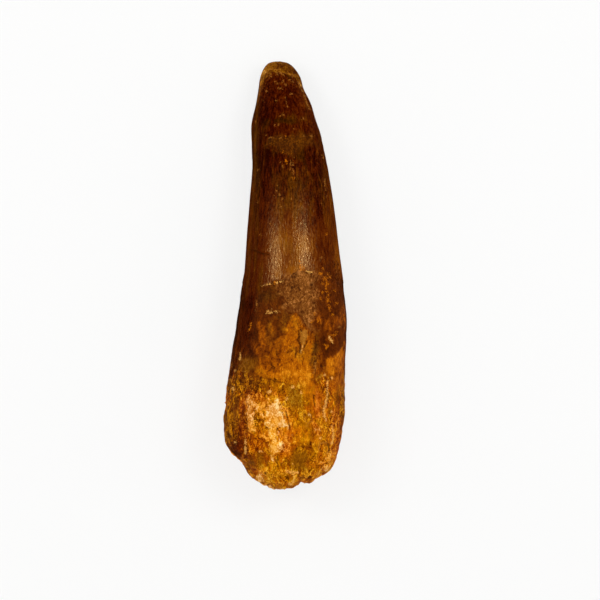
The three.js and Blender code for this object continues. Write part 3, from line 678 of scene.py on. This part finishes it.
def paint_fields(points, normals):
    """Every mark and soft zone of the skin, as one named value per point."""
    y = points[:, 1]
    # The face that is up, the same with the slopes down to the outline, and the slopes alone.
    up = smooth(normals[:, 2], 0.02, 0.4)
    seen = smooth(normals[:, 2], -0.15, 0.1)
    slant = 1 - smooth(normals[:, 2], 0.3, 0.9)
    # Places for most marks, for the loose edges of bare dentine, and for the fine marks.
    wander = shake(points, 1.1, 1.5, (11, 23), 3)
    places = points[:, :2] + 0.22 * wander
    loose = points[:, :2] + (0.5 + 0.9 * slant[:, None]) * wander
    close = points[:, :2] + 0.07 * wander + 0.09 * shake(points, 0.5, 0.5, (13, 29), 2)
    broad = noise(points, 4.5, 7, 31, 2)
    medium = noise(points, 1.8, 3.4, 37, 3)
    small = noise(points, 0.7, 1.6, 41, 3)

    edge_line = np.interp(places[:, 0], EDGE_X, EDGE_Y) + 0.22 * small
    # The enamel edge is crisp in the middle, and fades out at both sides.
    crispness = 0.05 + 0.95 * smooth(places[:, 0], -5.2, -3.8) * smooth(-places[:, 0], -6.8, -5.4)
    side_edge_line = SIDE_EDGE_Y + SIDE_EDGE_WAVE * broad + 0.5 * medium
    root_line = np.interp(places[:, 0], ROOT_LINE_X, ROOT_LINE_Y) + 0.3 * small
    side_root_line = SIDE_ROOT_Y + SIDE_ROOT_WAVE * broad + 0.8 * medium
    painted_highlight = np.interp(y, PAINTED_HIGHLIGHT_Y, PAINTED_HIGHLIGHT_X)
    side_crust = 2.4 * broad + 1.2 * small - 1.5 - np.maximum(y - SIDE_CRUST_Y, 0) / 2
    side_rust = 1.6 * medium - 1.0 - np.maximum(y - SIDE_RUST_Y, 0) / 2
    from_hollow = np.hypot(*((points[:, ::2] - HOLLOW) / HOLLOW_HALF).T) + 0.09 * small
    on_break = smooth(BREAK_Y - y, 0, 1) * smooth(-normals[:, 1], 0.2, 0.6)
    sand = np.where(on_break > 0, on_break * (1 - from_hollow) * HOLLOW_HALF[1] - 0.3, FAR)
    seam = np.where(on_break > 0.5, 0.15 - np.abs(1.02 - from_hollow) * HOLLOW_HALF[1], FAR)
    # How far each point faces sideways. The enamel is painted lighter there, as painted light on its rims.
    side = 1 - smooth(np.abs(normals[:, 2]), 0.0, 0.4)

    def drawn(elsewhere, *marks):
        """Drawn marks on the face that is up, and another value elsewhere."""
        return between(up, elsewhere, depth_in(places, *marks))

    def patched(elsewhere, spots):
        """Soft patches on all that is seen from above, and another value elsewhere."""
        return between(seen, elsewhere, soft_spots(places, spots))

    fields = {
        "enamel": between(up, y - side_edge_line, (y - edge_line) * crispness),
        "root": between(up, side_root_line, root_line) - y,
        "cap": drawn(y - SIDE_CAP_Y + medium, CAP_OUTLINES, CAP_STROKES),
        "band": drawn(1.2 - np.abs(y - SIDE_BAND_Y) + 0.8 * medium, BAND_OUTLINES),
        "mottle": drawn(2 * broad - 0.9 - np.abs(y - SIDE_MOTTLE_Y) / 5, MOTTLE_OUTLINES),
        "bare": between(up, 0.3 + 0.5 * broad + 0.2 * medium - 0.05 * np.abs(y - NECK_Y), bareness(loose)),
        "smooth": drawn(2.2 * medium - 1.6, SMOOTH_OUTLINES),
        "crust": np.maximum(sand, drawn(side_crust, CRUST_OUTLINES, CRUST_STROKES)),
        "rust": drawn(side_rust, (), RUST_STROKES),
        # A painted highlight along the crown's left side.
        "line": between(up, FAR, PAINTED_HIGHLIGHT_HALF_WIDTH - np.abs(close[:, 0] - painted_highlight)),
        # Enamel tone, with painted light on the rims, at the highlights and along the right margin.
        "tone_and_painted_light": 0.28 + patched(0.2 * broad, ENAMEL_TONE_AND_PAINTED_LIGHT) + 0.2 * side,
        "calm": patched(0.3, CALM),
        "soft": patched(0, SOFT),
        # Olive tone, with a painted reflection along the crown's right margin.
        "olive": patched(0.2 + 0.3 * broad, OLIVE_AND_PAINTED_REFLECTION),
        # Tone of the root, the patch and the cap, with painted highlight and painted shade in places.
        "glow": patched(0.15 * broad, BRIGHTNESS_AND_PAINTED_LIGHT),
        "pink": between(up, 0.6 * medium, soft_spots(places, PINK)) + 0.6 * on_break,
        "redness": patched(0.5 * medium, REDNESS),
    }
    for name, marks in FINE_MARKS.items():
        fields[name] = between(up, -1.0, depth_in(close, *marks))
    fields["crack"] = np.maximum(seam, fields["crack"])
    return {name: np.clip(values, FAR, 3) for name, values in fields.items()}


def relief(points, fields):
    """The height of the fine relief over the smooth skin, in millimetres."""
    y = points[:, 1]
    crown = smooth(fields["enamel"], -0.12, 0.12)
    root = smooth(fields["root"], -0.6, 0.8)
    band = smooth(fields["band"], -0.1, 0.25)
    crust = smooth(fields["crust"], -0.12, 0.3)
    orange = smooth(fields["bare"], 0.45, 0.6)
    even = smooth(fields["smooth"], -0.2, 0.3)
    fine = noise(points, 0.45, 0.6, 53, 2)
    flutes = 0.01 * noise(points, 1.0, 16, 61) + 0.004 * noise(points, 0.42, 9, 67, 2)
    height = crown * smooth(y, -1, 4) * flutes
    height += band * (0.02 * fine - 0.03)
    neck = (1 - crown) * (1 - root)
    height -= 0.1 * (1 - crown) * smooth(y, -10, -3)
    height += neck * (0.05 * noise(points, 1.4, 2.6, 71, 3) + 0.02 * fine)
    height += 0.05 * smooth(fields["mottle"], -0.3, 0.3) * fine
    height -= 0.12 * orange * (1 - root)
    height += 0.12 * smooth(fields["tan"], -0.1, 0.12)
    rough = smooth(fields["root"], -1, 3.5) * (1 - 0.8 * even)
    ridges = 0.05 - 0.14 * np.abs(noise(points, 0.9, 2.0, 73, 2))
    grains = 0.06 * noise(points, 0.5, 0.6, 79, 2)
    lumps = 0.10 * noise(points, 1.8, 2.4, 97, 2)
    pits = -0.14 * smooth(noise(points, 1.0, 1.2, 89, 2), 0.6, 0.9)
    height += rough * (ridges + grains + lumps + pits)
    height += crust * (0.2 + 0.12 * noise(points, 0.55, 0.7, 83, 2))
    height += 0.04 * smooth(np.maximum(fields["pale"], fields["speck"]), -0.1, 0.12)
    height -= 0.16 * smooth(fields["crack"], -0.1, 0.12)
    return height


# How wide a surrounding the relief is compared with, in rows and columns, and the millimetres for 1.
CAVITY_SPREAD = 3
CAVITY_DEPTH = 0.12


def cavity_of(height):
    """Where the relief lies above its surroundings, 1, and where it lies below them, -1."""
    grid = height.reshape(ROWS, COLUMNS)
    return np.clip((grid - blur(grid, CAVITY_SPREAD, CAVITY_SPREAD)) / CAVITY_DEPTH, -1, 1).ravel()


def skin_mesh(name, points, fields):
    """A closed mesh over the grid, with a point at each end, and the fields as attributes."""
    corners = points.reshape(-1, 3)
    ends = np.stack([points[0].mean(axis=0), points[-1].mean(axis=0)])
    index = np.arange(ROWS * COLUMNS).reshape(ROWS, COLUMNS)
    following = np.roll(index, -1, axis=1)
    quads = np.stack([index[:-1], index[1:], following[1:], following[:-1]], axis=2).reshape(-1, 4)
    base_point = ROWS * COLUMNS
    fans = [(base_point, index[0, i], following[0, i]) for i in range(COLUMNS)]
    fans += [(base_point + 1, following[-1, i], index[-1, i]) for i in range(COLUMNS)]
    mesh = bpy.data.meshes.new(name)
    mesh.from_pydata((np.concatenate([corners, ends]) * MM).tolist(), [], quads.tolist() + fans)
    mesh.validate()
    for field, values in fields.items():
        grid = values.reshape(ROWS, COLUMNS)
        at_ends = [grid[0].mean(), grid[-1].mean()]
        attribute = mesh.attributes.new(field, "FLOAT", "POINT")
        attribute.data.foreach_set("value", np.concatenate([values, at_ends]).astype(np.float32))
    mesh.shade_smooth()
    return mesh


def fossil_skin(node):
    """The finished tooth as a Blender object."""
    points = base_skin(node)
    points = trimmed(points, grid_normals(points))
    normals = grid_normals(points)
    flat_points = points.reshape(-1, 3)
    flat_normals = normals.reshape(-1, 3)
    fields = paint_fields(flat_points, flat_normals)
    height = relief(flat_points, fields)
    fields["raised"] = cavity_of(height)
    carved = flat_points + height[:, None] * flat_normals
    carved[:, 2] = np.maximum(carved[:, 2], 0)
    mesh = skin_mesh("fossil_tooth", carved.reshape(points.shape), fields)
    return bpy.data.objects.new("fossil_tooth", mesh)


# ---------------------------------------------------------------- material

def paint(red, green, blue):
    """A screen colour, 0 to 255, as Blender's linear colour."""
    parts = [part / 255 for part in (red, green, blue)]
    linear = [part / 12.92 if part < 0.04045 else ((part + 0.055) / 1.055) ** 2.4 for part in parts]
    return (*linear, 1)


class Value:
    """A result of a material's node. Sums and products of values add further nodes."""

    def __init__(self, recipe, socket):
        self.recipe = recipe
        self.socket = socket

    def __add__(self, other):
        return self.recipe.math("ADD", self, other)

    def __sub__(self, other):
        return self.recipe.math("SUBTRACT", self, other)

    def __rsub__(self, other):
        return self.recipe.math("SUBTRACT", other, self)

    def __mul__(self, other):
        return self.recipe.math("MULTIPLY", self, other)

    __radd__ = __add__
    __rmul__ = __mul__


# A mix node's sockets by number: its two inputs and its result, for colours and for numbers.
MIX_SOCKETS = {"RGBA": (6, 7, 2), "FLOAT": (2, 3, 0)}


class Recipe:
    """A material whose shader nodes are added one by one."""

    def __init__(self, name):
        self.material = bpy.data.materials.new(name)
        self.material.use_nodes = True
        self.tree = self.material.node_tree
        self.tree.nodes.clear()

    def node(self, kind, inputs, **settings):
        """A new node. Each input is linked to a value or set to a constant."""
        node = self.tree.nodes.new(kind)
        for name, value in settings.items():
            setattr(node, name, value)
        for name, value in inputs.items():
            if isinstance(value, Value):
                self.tree.links.new(value.socket, node.inputs[name])
            else:
                node.inputs[name].default_value = value
        return node

    def add(self, kind, inputs, result=0, **settings):
        """One result of a new node."""
        return Value(self, self.node(kind, inputs, **settings).outputs[result])

    def math(self, operation, first, second=0.0):
        """A sum of two numbers, or another operation on them."""
        return self.add("ShaderNodeMath", {0: first, 1: second}, operation=operation)

    def field(self, name):
        """One of the values that the skin carries."""
        return self.add("ShaderNodeAttribute", {}, "Fac", attribute_name=name)

    def cells(self, across, along, offset):
        """Places counted in cells of two sizes, in millimetres across and along the tooth."""
        place = self.add("ShaderNodeTexCoord", {}, "Object")
        scale = (1 / (across * MM), 1 / (along * MM), 1 / (across * MM))
        shift = (offset, offset, offset)
        return self.add("ShaderNodeMapping", {"Vector": place, "Location": shift, "Scale": scale})

    def noise(self, across, along, detail=2.0, roughness=0.5, offset=0.0, twist=0.0):
        """Noise of -0.5 to 0.5."""
        inputs = {"Scale": 1.0, "Detail": detail, "Roughness": roughness, "Distortion": twist}
        inputs["Vector"] = self.cells(across, along, offset)
        return self.add("ShaderNodeTexNoise", inputs, "Fac") - 0.5

    def lines(self, across, along, half_width, offset):
        """1 on thin, curling lines and 0 between them."""
        far = self.math("ABSOLUTE", self.noise(across, along, 1.0, 0.5, offset, 1.6))
        return self.step(far, half_width, 0.0)

    def flakes(self, across, along, half_width, offset):
        """1 on the thin, wavy edges of flakes and 0 inside them."""
        cells = self.cells(across, along, offset)
        wave = self.add("ShaderNodeTexNoise", {"Vector": cells, "Scale": 1.3, "Detail": 2.0}, "Color")
        bent = self.add("ShaderNodeVectorMath", {0: wave, 1: (3, 3, 3), 2: cells}, operation="MULTIPLY_ADD")
        inputs = {"Vector": bent, "Scale": 1.0}
        far = self.add("ShaderNodeTexVoronoi", inputs, "Distance", feature="DISTANCE_TO_EDGE")
        return self.step(far, half_width, 0.0)

    def step(self, value, low, high):
        """0 below low, 1 above high, and a smooth rise between."""
        inputs = {"Value": value, "From Min": low, "From Max": high}
        return self.add("ShaderNodeMapRange", inputs, "Result", interpolation_type="SMOOTHSTEP")

    def mask(self, name, softness, ragged):
        """1 inside a mark and 0 outside. The noise moves its edge, in millimetres."""
        return self.step(self.field(name) + ragged, -softness, softness)

    def mix(self, share, first, second, kind="RGBA"):
        """Goes from the first colour or number to the second as the share goes from 0 to 1."""
        first_socket, second_socket, result = MIX_SOCKETS[kind]
        inputs = {0: share, first_socket: first, second_socket: second}
        return self.add("ShaderNodeMix", inputs, result, data_type=kind)

    def palette(self, value, stops):
        """The colour for a value of 0 to 1. Each stop is a value and its red, green and blue."""
        ramp = self.node("ShaderNodeValToRGB", {"Fac": value})
        elements = ramp.color_ramp.elements
        while len(elements) < len(stops):
            elements.new(1.0)
        for element, (place, *colour) in zip(elements, stops):
            element.position = place
            element.color = paint(*colour)
        return Value(self, ramp.outputs["Color"])

    def two_tone(self, share, value, first, second):
        """A mix of two palettes."""
        return self.mix(share, self.palette(value, first), self.palette(value, second))


# Palettes: colours from dark to pale, as (value, red, green, blue).
ENAMEL = [(0, 34, 3, 0), (0.2, 58, 10, 0), (0.4, 80, 25, 0), (0.65, 104, 45, 1), (1, 134, 70, 4)]
OLIVE_ENAMEL = [(0, 40, 14, 0), (0.3, 70, 31, 0), (0.6, 102, 52, 1), (1, 140, 80, 5)]
CAP = [(0.1, 66, 20, 0), (0.35, 100, 50, 1), (0.55, 138, 82, 8), (0.75, 172, 112, 26), (0.95, 226, 160, 84)]
BAND = [(0.2, 48, 16, 0), (0.5, 78, 35, 0), (0.8, 126, 68, 4)]
# From dark brown neck to bare orange dentine.
DENTINE = [
    (0, 46, 10, 0), (0.16, 80, 29, 0), (0.3, 108, 46, 1), (0.45, 140, 66, 1), (0.6, 164, 82, 1),
    (0.8, 194, 106, 3), (1, 222, 142, 24),
]
OLIVE_DENTINE = [
    (0, 40, 16, 0), (0.16, 72, 36, 2), (0.3, 102, 56, 6), (0.45, 132, 78, 8), (0.6, 158, 92, 4),
    (0.8, 188, 112, 4), (1, 216, 146, 24),
]
MOTTLE = [(0.1, 64, 27, 3), (0.38, 104, 53, 11), (0.6, 138, 80, 26), (0.9, 194, 124, 58)]
OLIVE_ROOT = [
    (0, 54, 20, 0), (0.2, 94, 44, 1), (0.38, 138, 74, 1), (0.52, 172, 100, 2), (0.66, 200, 124, 3),
    (0.8, 222, 150, 8), (1, 244, 188, 50),
]
RED_ROOT = [
    (0, 66, 16, 0), (0.2, 110, 38, 1), (0.38, 156, 68, 1), (0.52, 190, 94, 2), (0.66, 214, 116, 2),
    (0.8, 232, 142, 8), (1, 248, 188, 56),
]
CREAM = [
    (0.05, 150, 66, 1), (0.25, 206, 110, 3), (0.45, 230, 138, 14), (0.65, 244, 162, 36),
    (0.82, 251, 188, 76), (1, 255, 222, 140),
]
PINK_CREAM = [
    (0.05, 120, 44, 2), (0.25, 180, 92, 12), (0.45, 214, 134, 42), (0.65, 234, 166, 80),
    (0.95, 254, 218, 150),
]
EVEN = [(0.2, 84, 42, 1), (0.5, 126, 72, 4), (0.8, 172, 108, 18)]
RUST = [(0.2, 100, 30, 0), (0.5, 186, 80, 1), (0.8, 236, 150, 50)]
TAN = [(0.25, 112, 56, 4), (0.75, 196, 128, 40)]

# Single colours of lines and small marks. The first is the painted highlight along the crown's left side.
PAINTED_HIGHLIGHT_COLOUR = paint(140, 80, 3)
CRUMB_COLOUR = paint(172, 104, 34)
GOLD_COLOUR = paint(200, 110, 5)
GOLD_ON_CRUST_COLOUR = paint(244, 176, 74)
SPECK_COLOUR = paint(182, 116, 44)
PALE_COLOUR = paint(244, 178, 84)
CRACK_COLOUR = paint(50, 16, 1)

ENAMEL_ROUGHNESS = 0.34
WORN_ROUGHNESS = 0.85
BUMP_DEPTH = 0.05 * MM
# How far dentine lies above enamel in the bump, as a share of its depth.
DENTINE_RISE = 0.57
GLOSS_TINT = (1.0, 0.62, 0.23, 1.0)


class Fossil(Recipe):
    """The tooth's material. Each method paints one zone over the colour that it is given."""

    def __init__(self):
        super().__init__("fossil")
        # Noises: cell size across and along in millimetres, detail, roughness, offset and twist.
        self.grit = self.noise(0.26, 0.3, 2.0, 0.55)
        self.grain = self.noise(0.42, 0.55, 3.0, 0.6, 3.1)
        self.fibre = self.noise(0.45, 1.5, 4.0, 0.7, 7.7, 0.4)
        self.clump = self.noise(1.5, 2.2, 6.0, 0.65, 12.3, 0.5)
        self.patch = self.noise(3.6, 5.5, 3.0, 0.5, 21.9)
        self.streak = self.noise(0.26, 9.0, 3.0, 0.65, 31.1)
        self.stripe = self.noise(0.9, 15.0, 2.0, 0.5, 43.7)
        self.fleck = self.noise(0.3, 0.8, 0.0, 0.5, 51.3)
        # Curling lines: cell size as above, half width as a value of their noise, and offset.
        self.curl = self.lines(1.0, 1.3, 0.05, 63.3)
        self.vein = self.lines(1.3, 2.4, 0.035, 71.9)
        # Relief: 1 raised, -1 sunk. The colour follows it a little: painted shade in hollows, painted light
        # on tops.
        self.raised = self.field("raised")
        # Brightness of the root, the patch and the cap, partly painted highlight and painted shade.
        self.glow = self.field("glow")
        self.olive = self.field("olive")
        self.band = 0.7 * self.mask("band", 0.6, 5 * self.clump)
        self.cap = self.mask("cap", 0.45, 3.5 * self.clump)
        self.below = 1 - self.mask("enamel", 0.2, 1.6 * self.grain)
        self.crust = self.mask("crust", 0.22, 2 * self.grain)

    def enamel(self):
        """Dark, streaked enamel, olive in places, with a painted highlight, a thin golden line, along its
        left side.
        """
        stripes = (0.65 * self.stripe + 1.8 * self.streak) * (1 - self.field("calm"))
        shine = self.field("tone_and_painted_light") + stripes + 0.5 * self.grit + 0.1 * self.clump
        olive = self.step(self.olive + 2 * self.stripe, 0.1, 0.9)
        # The painted highlight along the left side, a thin golden line.
        line = 0.22 * self.mask("line", 0.3, 2 * self.fibre)
        return self.mix(line, self.two_tone(olive, shine, ENAMEL, OLIVE_ENAMEL), PAINTED_HIGHLIGHT_COLOUR)

    def tip(self, colour):
        """The worn band, the crescent of crumbs below the cap, and the tan cap."""
        band_value = 0.48 + self.grain + 1.1 * self.grit + 0.5 * self.stripe
        colour = self.mix(self.band, colour, self.palette(band_value, BAND))
        crescent = 0.6 * self.step(self.field("cap"), -2.2, -0.6) * self.step(self.grit, 0.12, 0.2)
        colour = self.mix(crescent, colour, CRUMB_COLOUR)
        cap_value = 0.48 + self.glow + 1.6 * self.clump + 0.7 * (self.grit + self.grain) + 0.12 * self.curl
        return self.mix(self.cap, colour, self.palette(cap_value, CAP))

    def neck(self, colour):
        """The spalled neck, dark brown to bare orange, and its purple-brown patch."""
        grade = self.field("bare")
        weathering = (
            0.9 * self.fibre + self.clump + 0.5 * self.grit + 0.8 * self.grain
            + 0.06 * self.raised - 0.22 * self.vein - 0.1 * self.curl
        )
        bare = grade + weathering * self.mix(self.step(grade, 0.15, 0.6), 0.45, 1.0, "FLOAT")
        dulled = self.step(self.olive + 1.4 * self.clump, 0.1, 0.8)
        colour = self.mix(self.below, colour, self.two_tone(dulled, bare, DENTINE, OLIVE_DENTINE))
        mottle_value = (
            0.52 + self.glow + self.grain + 1.15 * self.clump + 0.6 * self.grit
            + 0.4 * self.fibre + 0.25 * self.curl - 0.3 * self.vein
        )
        mottle = 0.85 * self.mask("mottle", 1.3, 5 * self.clump)
        return self.mix(mottle, colour, self.palette(mottle_value, MOTTLE))

    def root(self, colour):
        """The grainy root, olive or red, with pale threads, dark seams, smooth patches and rust."""
        threads = self.flakes(1.3, 1.9, 0.12, 91.3)
        seams = self.flakes(1.8, 2.8, 0.08, 103.9)
        texture = (
            0.75 * self.fibre + 0.65 * self.clump + 0.42 * self.grit + 0.35 * self.patch
            + 0.12 * self.raised - 0.26 * self.vein - 0.24 * seams
            + 0.36 * self.curl * self.step(self.patch, -0.15, 0.1)
            + 0.42 * threads * self.step(self.clump, -0.08, 0.05)
        )
        value = 0.49 + self.glow + texture * (1 - self.field("soft"))
        hue = self.noise(1.1, 2.0, 4.0, 0.65, 77.7)
        red = self.step(self.field("redness") + 3.5 * hue, -0.5, 0.8)
        share = self.mask("root", 1.6, 6 * self.clump)
        colour = self.mix(share, colour, self.two_tone(red, value, OLIVE_ROOT, RED_ROOT))
        even = 0.7 * self.mask("smooth", 0.8, 3 * self.clump)
        colour = self.mix(even, colour, self.palette(0.5 + self.grain + 0.6 * self.grit, EVEN))
        rust = 0.65 * self.mask("rust", 0.6, 4 * self.clump)
        return self.mix(rust, colour, self.palette(value, RUST))

    def sand(self, colour):
        """The sand crust, cream or pink."""
        value = (
            0.5 + self.glow + 1.3 * self.grain + 1.2 * self.grit + 0.9 * self.clump
            + 0.12 * self.raised + 0.15 * self.curl
        )
        pink = self.step(self.field("pink") + 2 * self.clump, -0.2, 0.6)
        return self.mix(self.crust, colour, self.two_tone(pink, value, CREAM, PINK_CREAM))

    def small_marks(self, colour):
        """The tan remnant, golden flecks, specks, pale marks and cracks."""
        tan = self.mask("tan", 0.15, 0.8 * self.grain)
        colour = self.mix(tan, colour, self.palette(0.5 + self.grain + 0.5 * self.grit, TAN))
        gold = self.mix(self.crust, GOLD_COLOUR, GOLD_ON_CRUST_COLOUR)
        for name, strength, softness, ragged, shade in (
            ("gold", 0.7, 0.12, 1.6, gold),
            ("speck", 0.45, 0.1, 1.2, SPECK_COLOUR),
            ("pale", 0.7, 0.12, 1.1, PALE_COLOUR),
            ("crack", 0.82, 0.08, 0.7, CRACK_COLOUR),
        ):
            share = strength * self.mask(name, softness, ragged * self.grit)
            colour = self.mix(share, colour, shade)
        return colour

    def finished(self):
        """The material with all its zones. The enamel shines, and all that is worn is matt."""
        colour = self.enamel()
        for zone in (self.tip, self.neck, self.root, self.sand, self.small_marks):
            colour = zone(colour)
        worn = self.math("MAXIMUM", self.below, self.math("MAXIMUM", self.cap, self.band))
        enamel_height = 1.2 * self.fleck + 0.06 * self.streak
        dentine_height = DENTINE_RISE + 1.2 * (self.grit + self.fibre)
        height = self.mix(self.below, enamel_height, dentine_height, "FLOAT")
        bump = self.add("ShaderNodeBump", {"Height": height, "Distance": BUMP_DEPTH, "Strength": 1.0})
        shader = self.add(
            "ShaderNodeBsdfPrincipled",
            {
                "Base Color": colour,
                "Roughness": self.mix(worn, ENAMEL_ROUGHNESS + 0.5 * self.grit, WORN_ROUGHNESS, "FLOAT"),
                "Normal": bump,
                "IOR": 1.5,
                "Specular Tint": GLOSS_TINT,
            },
        )
        self.node("ShaderNodeOutputMaterial", {"Surface": shader})
        return self.material


# ---------------------------------------------------------------- stage

# Half the floor's width, in metres.
FLOOR_HALF = 1.5
FLOOR_COLOUR = (0.965, 0.965, 0.96, 1)
# What the floor throws back up: soft light, and reflections.
FLOOR_BOUNCE = (0.62, 0.56, 0.50, 1)
FLOOR_SHEEN = (0.15, 0.045, 0.006, 1)
FLOOR_GLOW = 0.78
DOME_STRENGTH = 0.74
# Each lamp: name, aim point in millimetres, turn from straight up towards +X and tilt towards +Y in
# degrees, distance, width and length in metres, and power in watts. The soft lamps light the tooth and
# its rims, and the glint lamps, small and near it, give the two highlights on the crown.
SOFT_LAMPS = [
    ("soft_left", (1, 0, 12), -35, 15, 0.35, 0.10, 0.14, 0.24),
    ("soft_right", (1, 0, 12), 30, 15, 0.35, 0.10, 0.14, 0.24),
    ("rim_left", (-8, 0, 8), -78, 0, 0.35, 0.08, 0.30, 0.06),
    ("rim_right", (10, 0, 8), 78, 0, 0.35, 0.08, 0.30, 0.14),
]
GLINT_LAMPS = [
    ("glint_left", (-1.7, 3.3, 14.8), -36, 18.5, 0.028, 0.006, 0.002, 0.0029),
    ("glint_right", (3.5, 4.9, 14.4), 23, 18.5, 0.028, 0.007, 0.003, 0.0034),
]


def pale_floor():
    """A plain pale floor. Only the camera sees it bright, so it throws little light and sheen back up."""
    mesh = bpy.data.meshes.new("floor")
    half = FLOOR_HALF
    corners = [(-half, -half, 0), (half, -half, 0), (half, half, 0), (-half, half, 0)]
    mesh.from_pydata(corners, [], [(0, 1, 2, 3)])
    recipe = Recipe("floor")
    seen = recipe.add("ShaderNodeLightPath", {}, "Is Camera Ray")
    reflected = recipe.add("ShaderNodeLightPath", {}, "Is Glossy Ray")
    colour = recipe.mix(seen, recipe.mix(reflected, FLOOR_BOUNCE, FLOOR_SHEEN), FLOOR_COLOUR)
    cloth = recipe.add("ShaderNodeBsdfDiffuse", {"Color": colour})
    glow = recipe.add("ShaderNodeEmission", {"Color": FLOOR_COLOUR})
    shader = recipe.add("ShaderNodeMixShader", {0: FLOOR_GLOW * seen, 1: cloth, 2: glow})
    recipe.node("ShaderNodeOutputMaterial", {"Surface": shader})
    mesh.materials.append(recipe.material)
    floor = bpy.data.objects.new("floor", mesh)
    bpy.context.collection.objects.link(floor)


def add_light(light):
    """A light that the camera doesn't see, and that no ray meets by chance."""
    light.cycles.use_multiple_importance_sampling = False
    lamp = bpy.data.objects.new(light.name, light)
    lamp.visible_camera = False
    bpy.context.collection.objects.link(lamp)
    return lamp


def add_lamp(name, aim, turn, tilt, distance, width, length, power):
    """A rectangular lamp that faces its aim point."""
    towards = Vector((math.tan(math.radians(turn)), math.tan(math.radians(tilt)), 1)).normalized()
    light = bpy.data.lights.new(name, "AREA")
    light.shape = "RECTANGLE"
    light.size = width
    light.size_y = length
    light.energy = power
    lamp = add_light(light)
    lamp.location = Vector(aim) * MM + towards * distance
    lamp.rotation_mode = "QUATERNION"
    lamp.rotation_quaternion = towards.to_track_quat("Z", "Y")
    return lamp


def studio_light():
    """A pale backdrop, an even dome and soft lamps left out of reflections, and glint lamps only in them."""
    world = bpy.data.worlds.new("backdrop")
    bpy.context.scene.world = world
    world.use_nodes = True
    world.node_tree.nodes["Background"].inputs["Color"].default_value = FLOOR_COLOUR
    world.cycles_visibility.diffuse = False
    world.cycles_visibility.glossy = False
    dome = bpy.data.lights.new("dome", "SUN")
    dome.angle = math.pi
    dome.energy = DOME_STRENGTH * math.pi
    add_light(dome).visible_glossy = False
    for lamp in SOFT_LAMPS:
        add_lamp(*lamp).visible_glossy = False
    for lamp in GLINT_LAMPS:
        add_lamp(*lamp).visible_diffuse = False


def camera_above():
    """A camera that looks straight down at the tooth."""
    data = bpy.data.cameras.new("camera")
    data.lens = LENS
    data.sensor_width = SENSOR
    data.clip_start = NEAREST
    data.clip_end = FARTHEST
    camera = bpy.data.objects.new("camera", data)
    camera.location = (VIEW_X, VIEW_Y, FIELD_HEIGHT + FIELD * LENS / SENSOR)
    bpy.context.collection.objects.link(camera)
    bpy.context.scene.camera = camera


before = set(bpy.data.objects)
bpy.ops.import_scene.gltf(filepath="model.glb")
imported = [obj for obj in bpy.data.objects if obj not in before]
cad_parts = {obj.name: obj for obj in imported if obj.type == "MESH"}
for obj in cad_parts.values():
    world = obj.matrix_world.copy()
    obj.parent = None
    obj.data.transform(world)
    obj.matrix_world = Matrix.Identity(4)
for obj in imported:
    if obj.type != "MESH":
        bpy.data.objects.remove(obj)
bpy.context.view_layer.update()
bpy.context.scene.view_settings.view_transform = "Standard"

camera_above()
studio_light()
pale_floor()

tooth = fossil_skin(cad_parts["tooth"])
tooth.data.materials.append(Fossil().finished())
bpy.context.collection.objects.link(tooth)
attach(tooth, "root")
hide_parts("tooth")
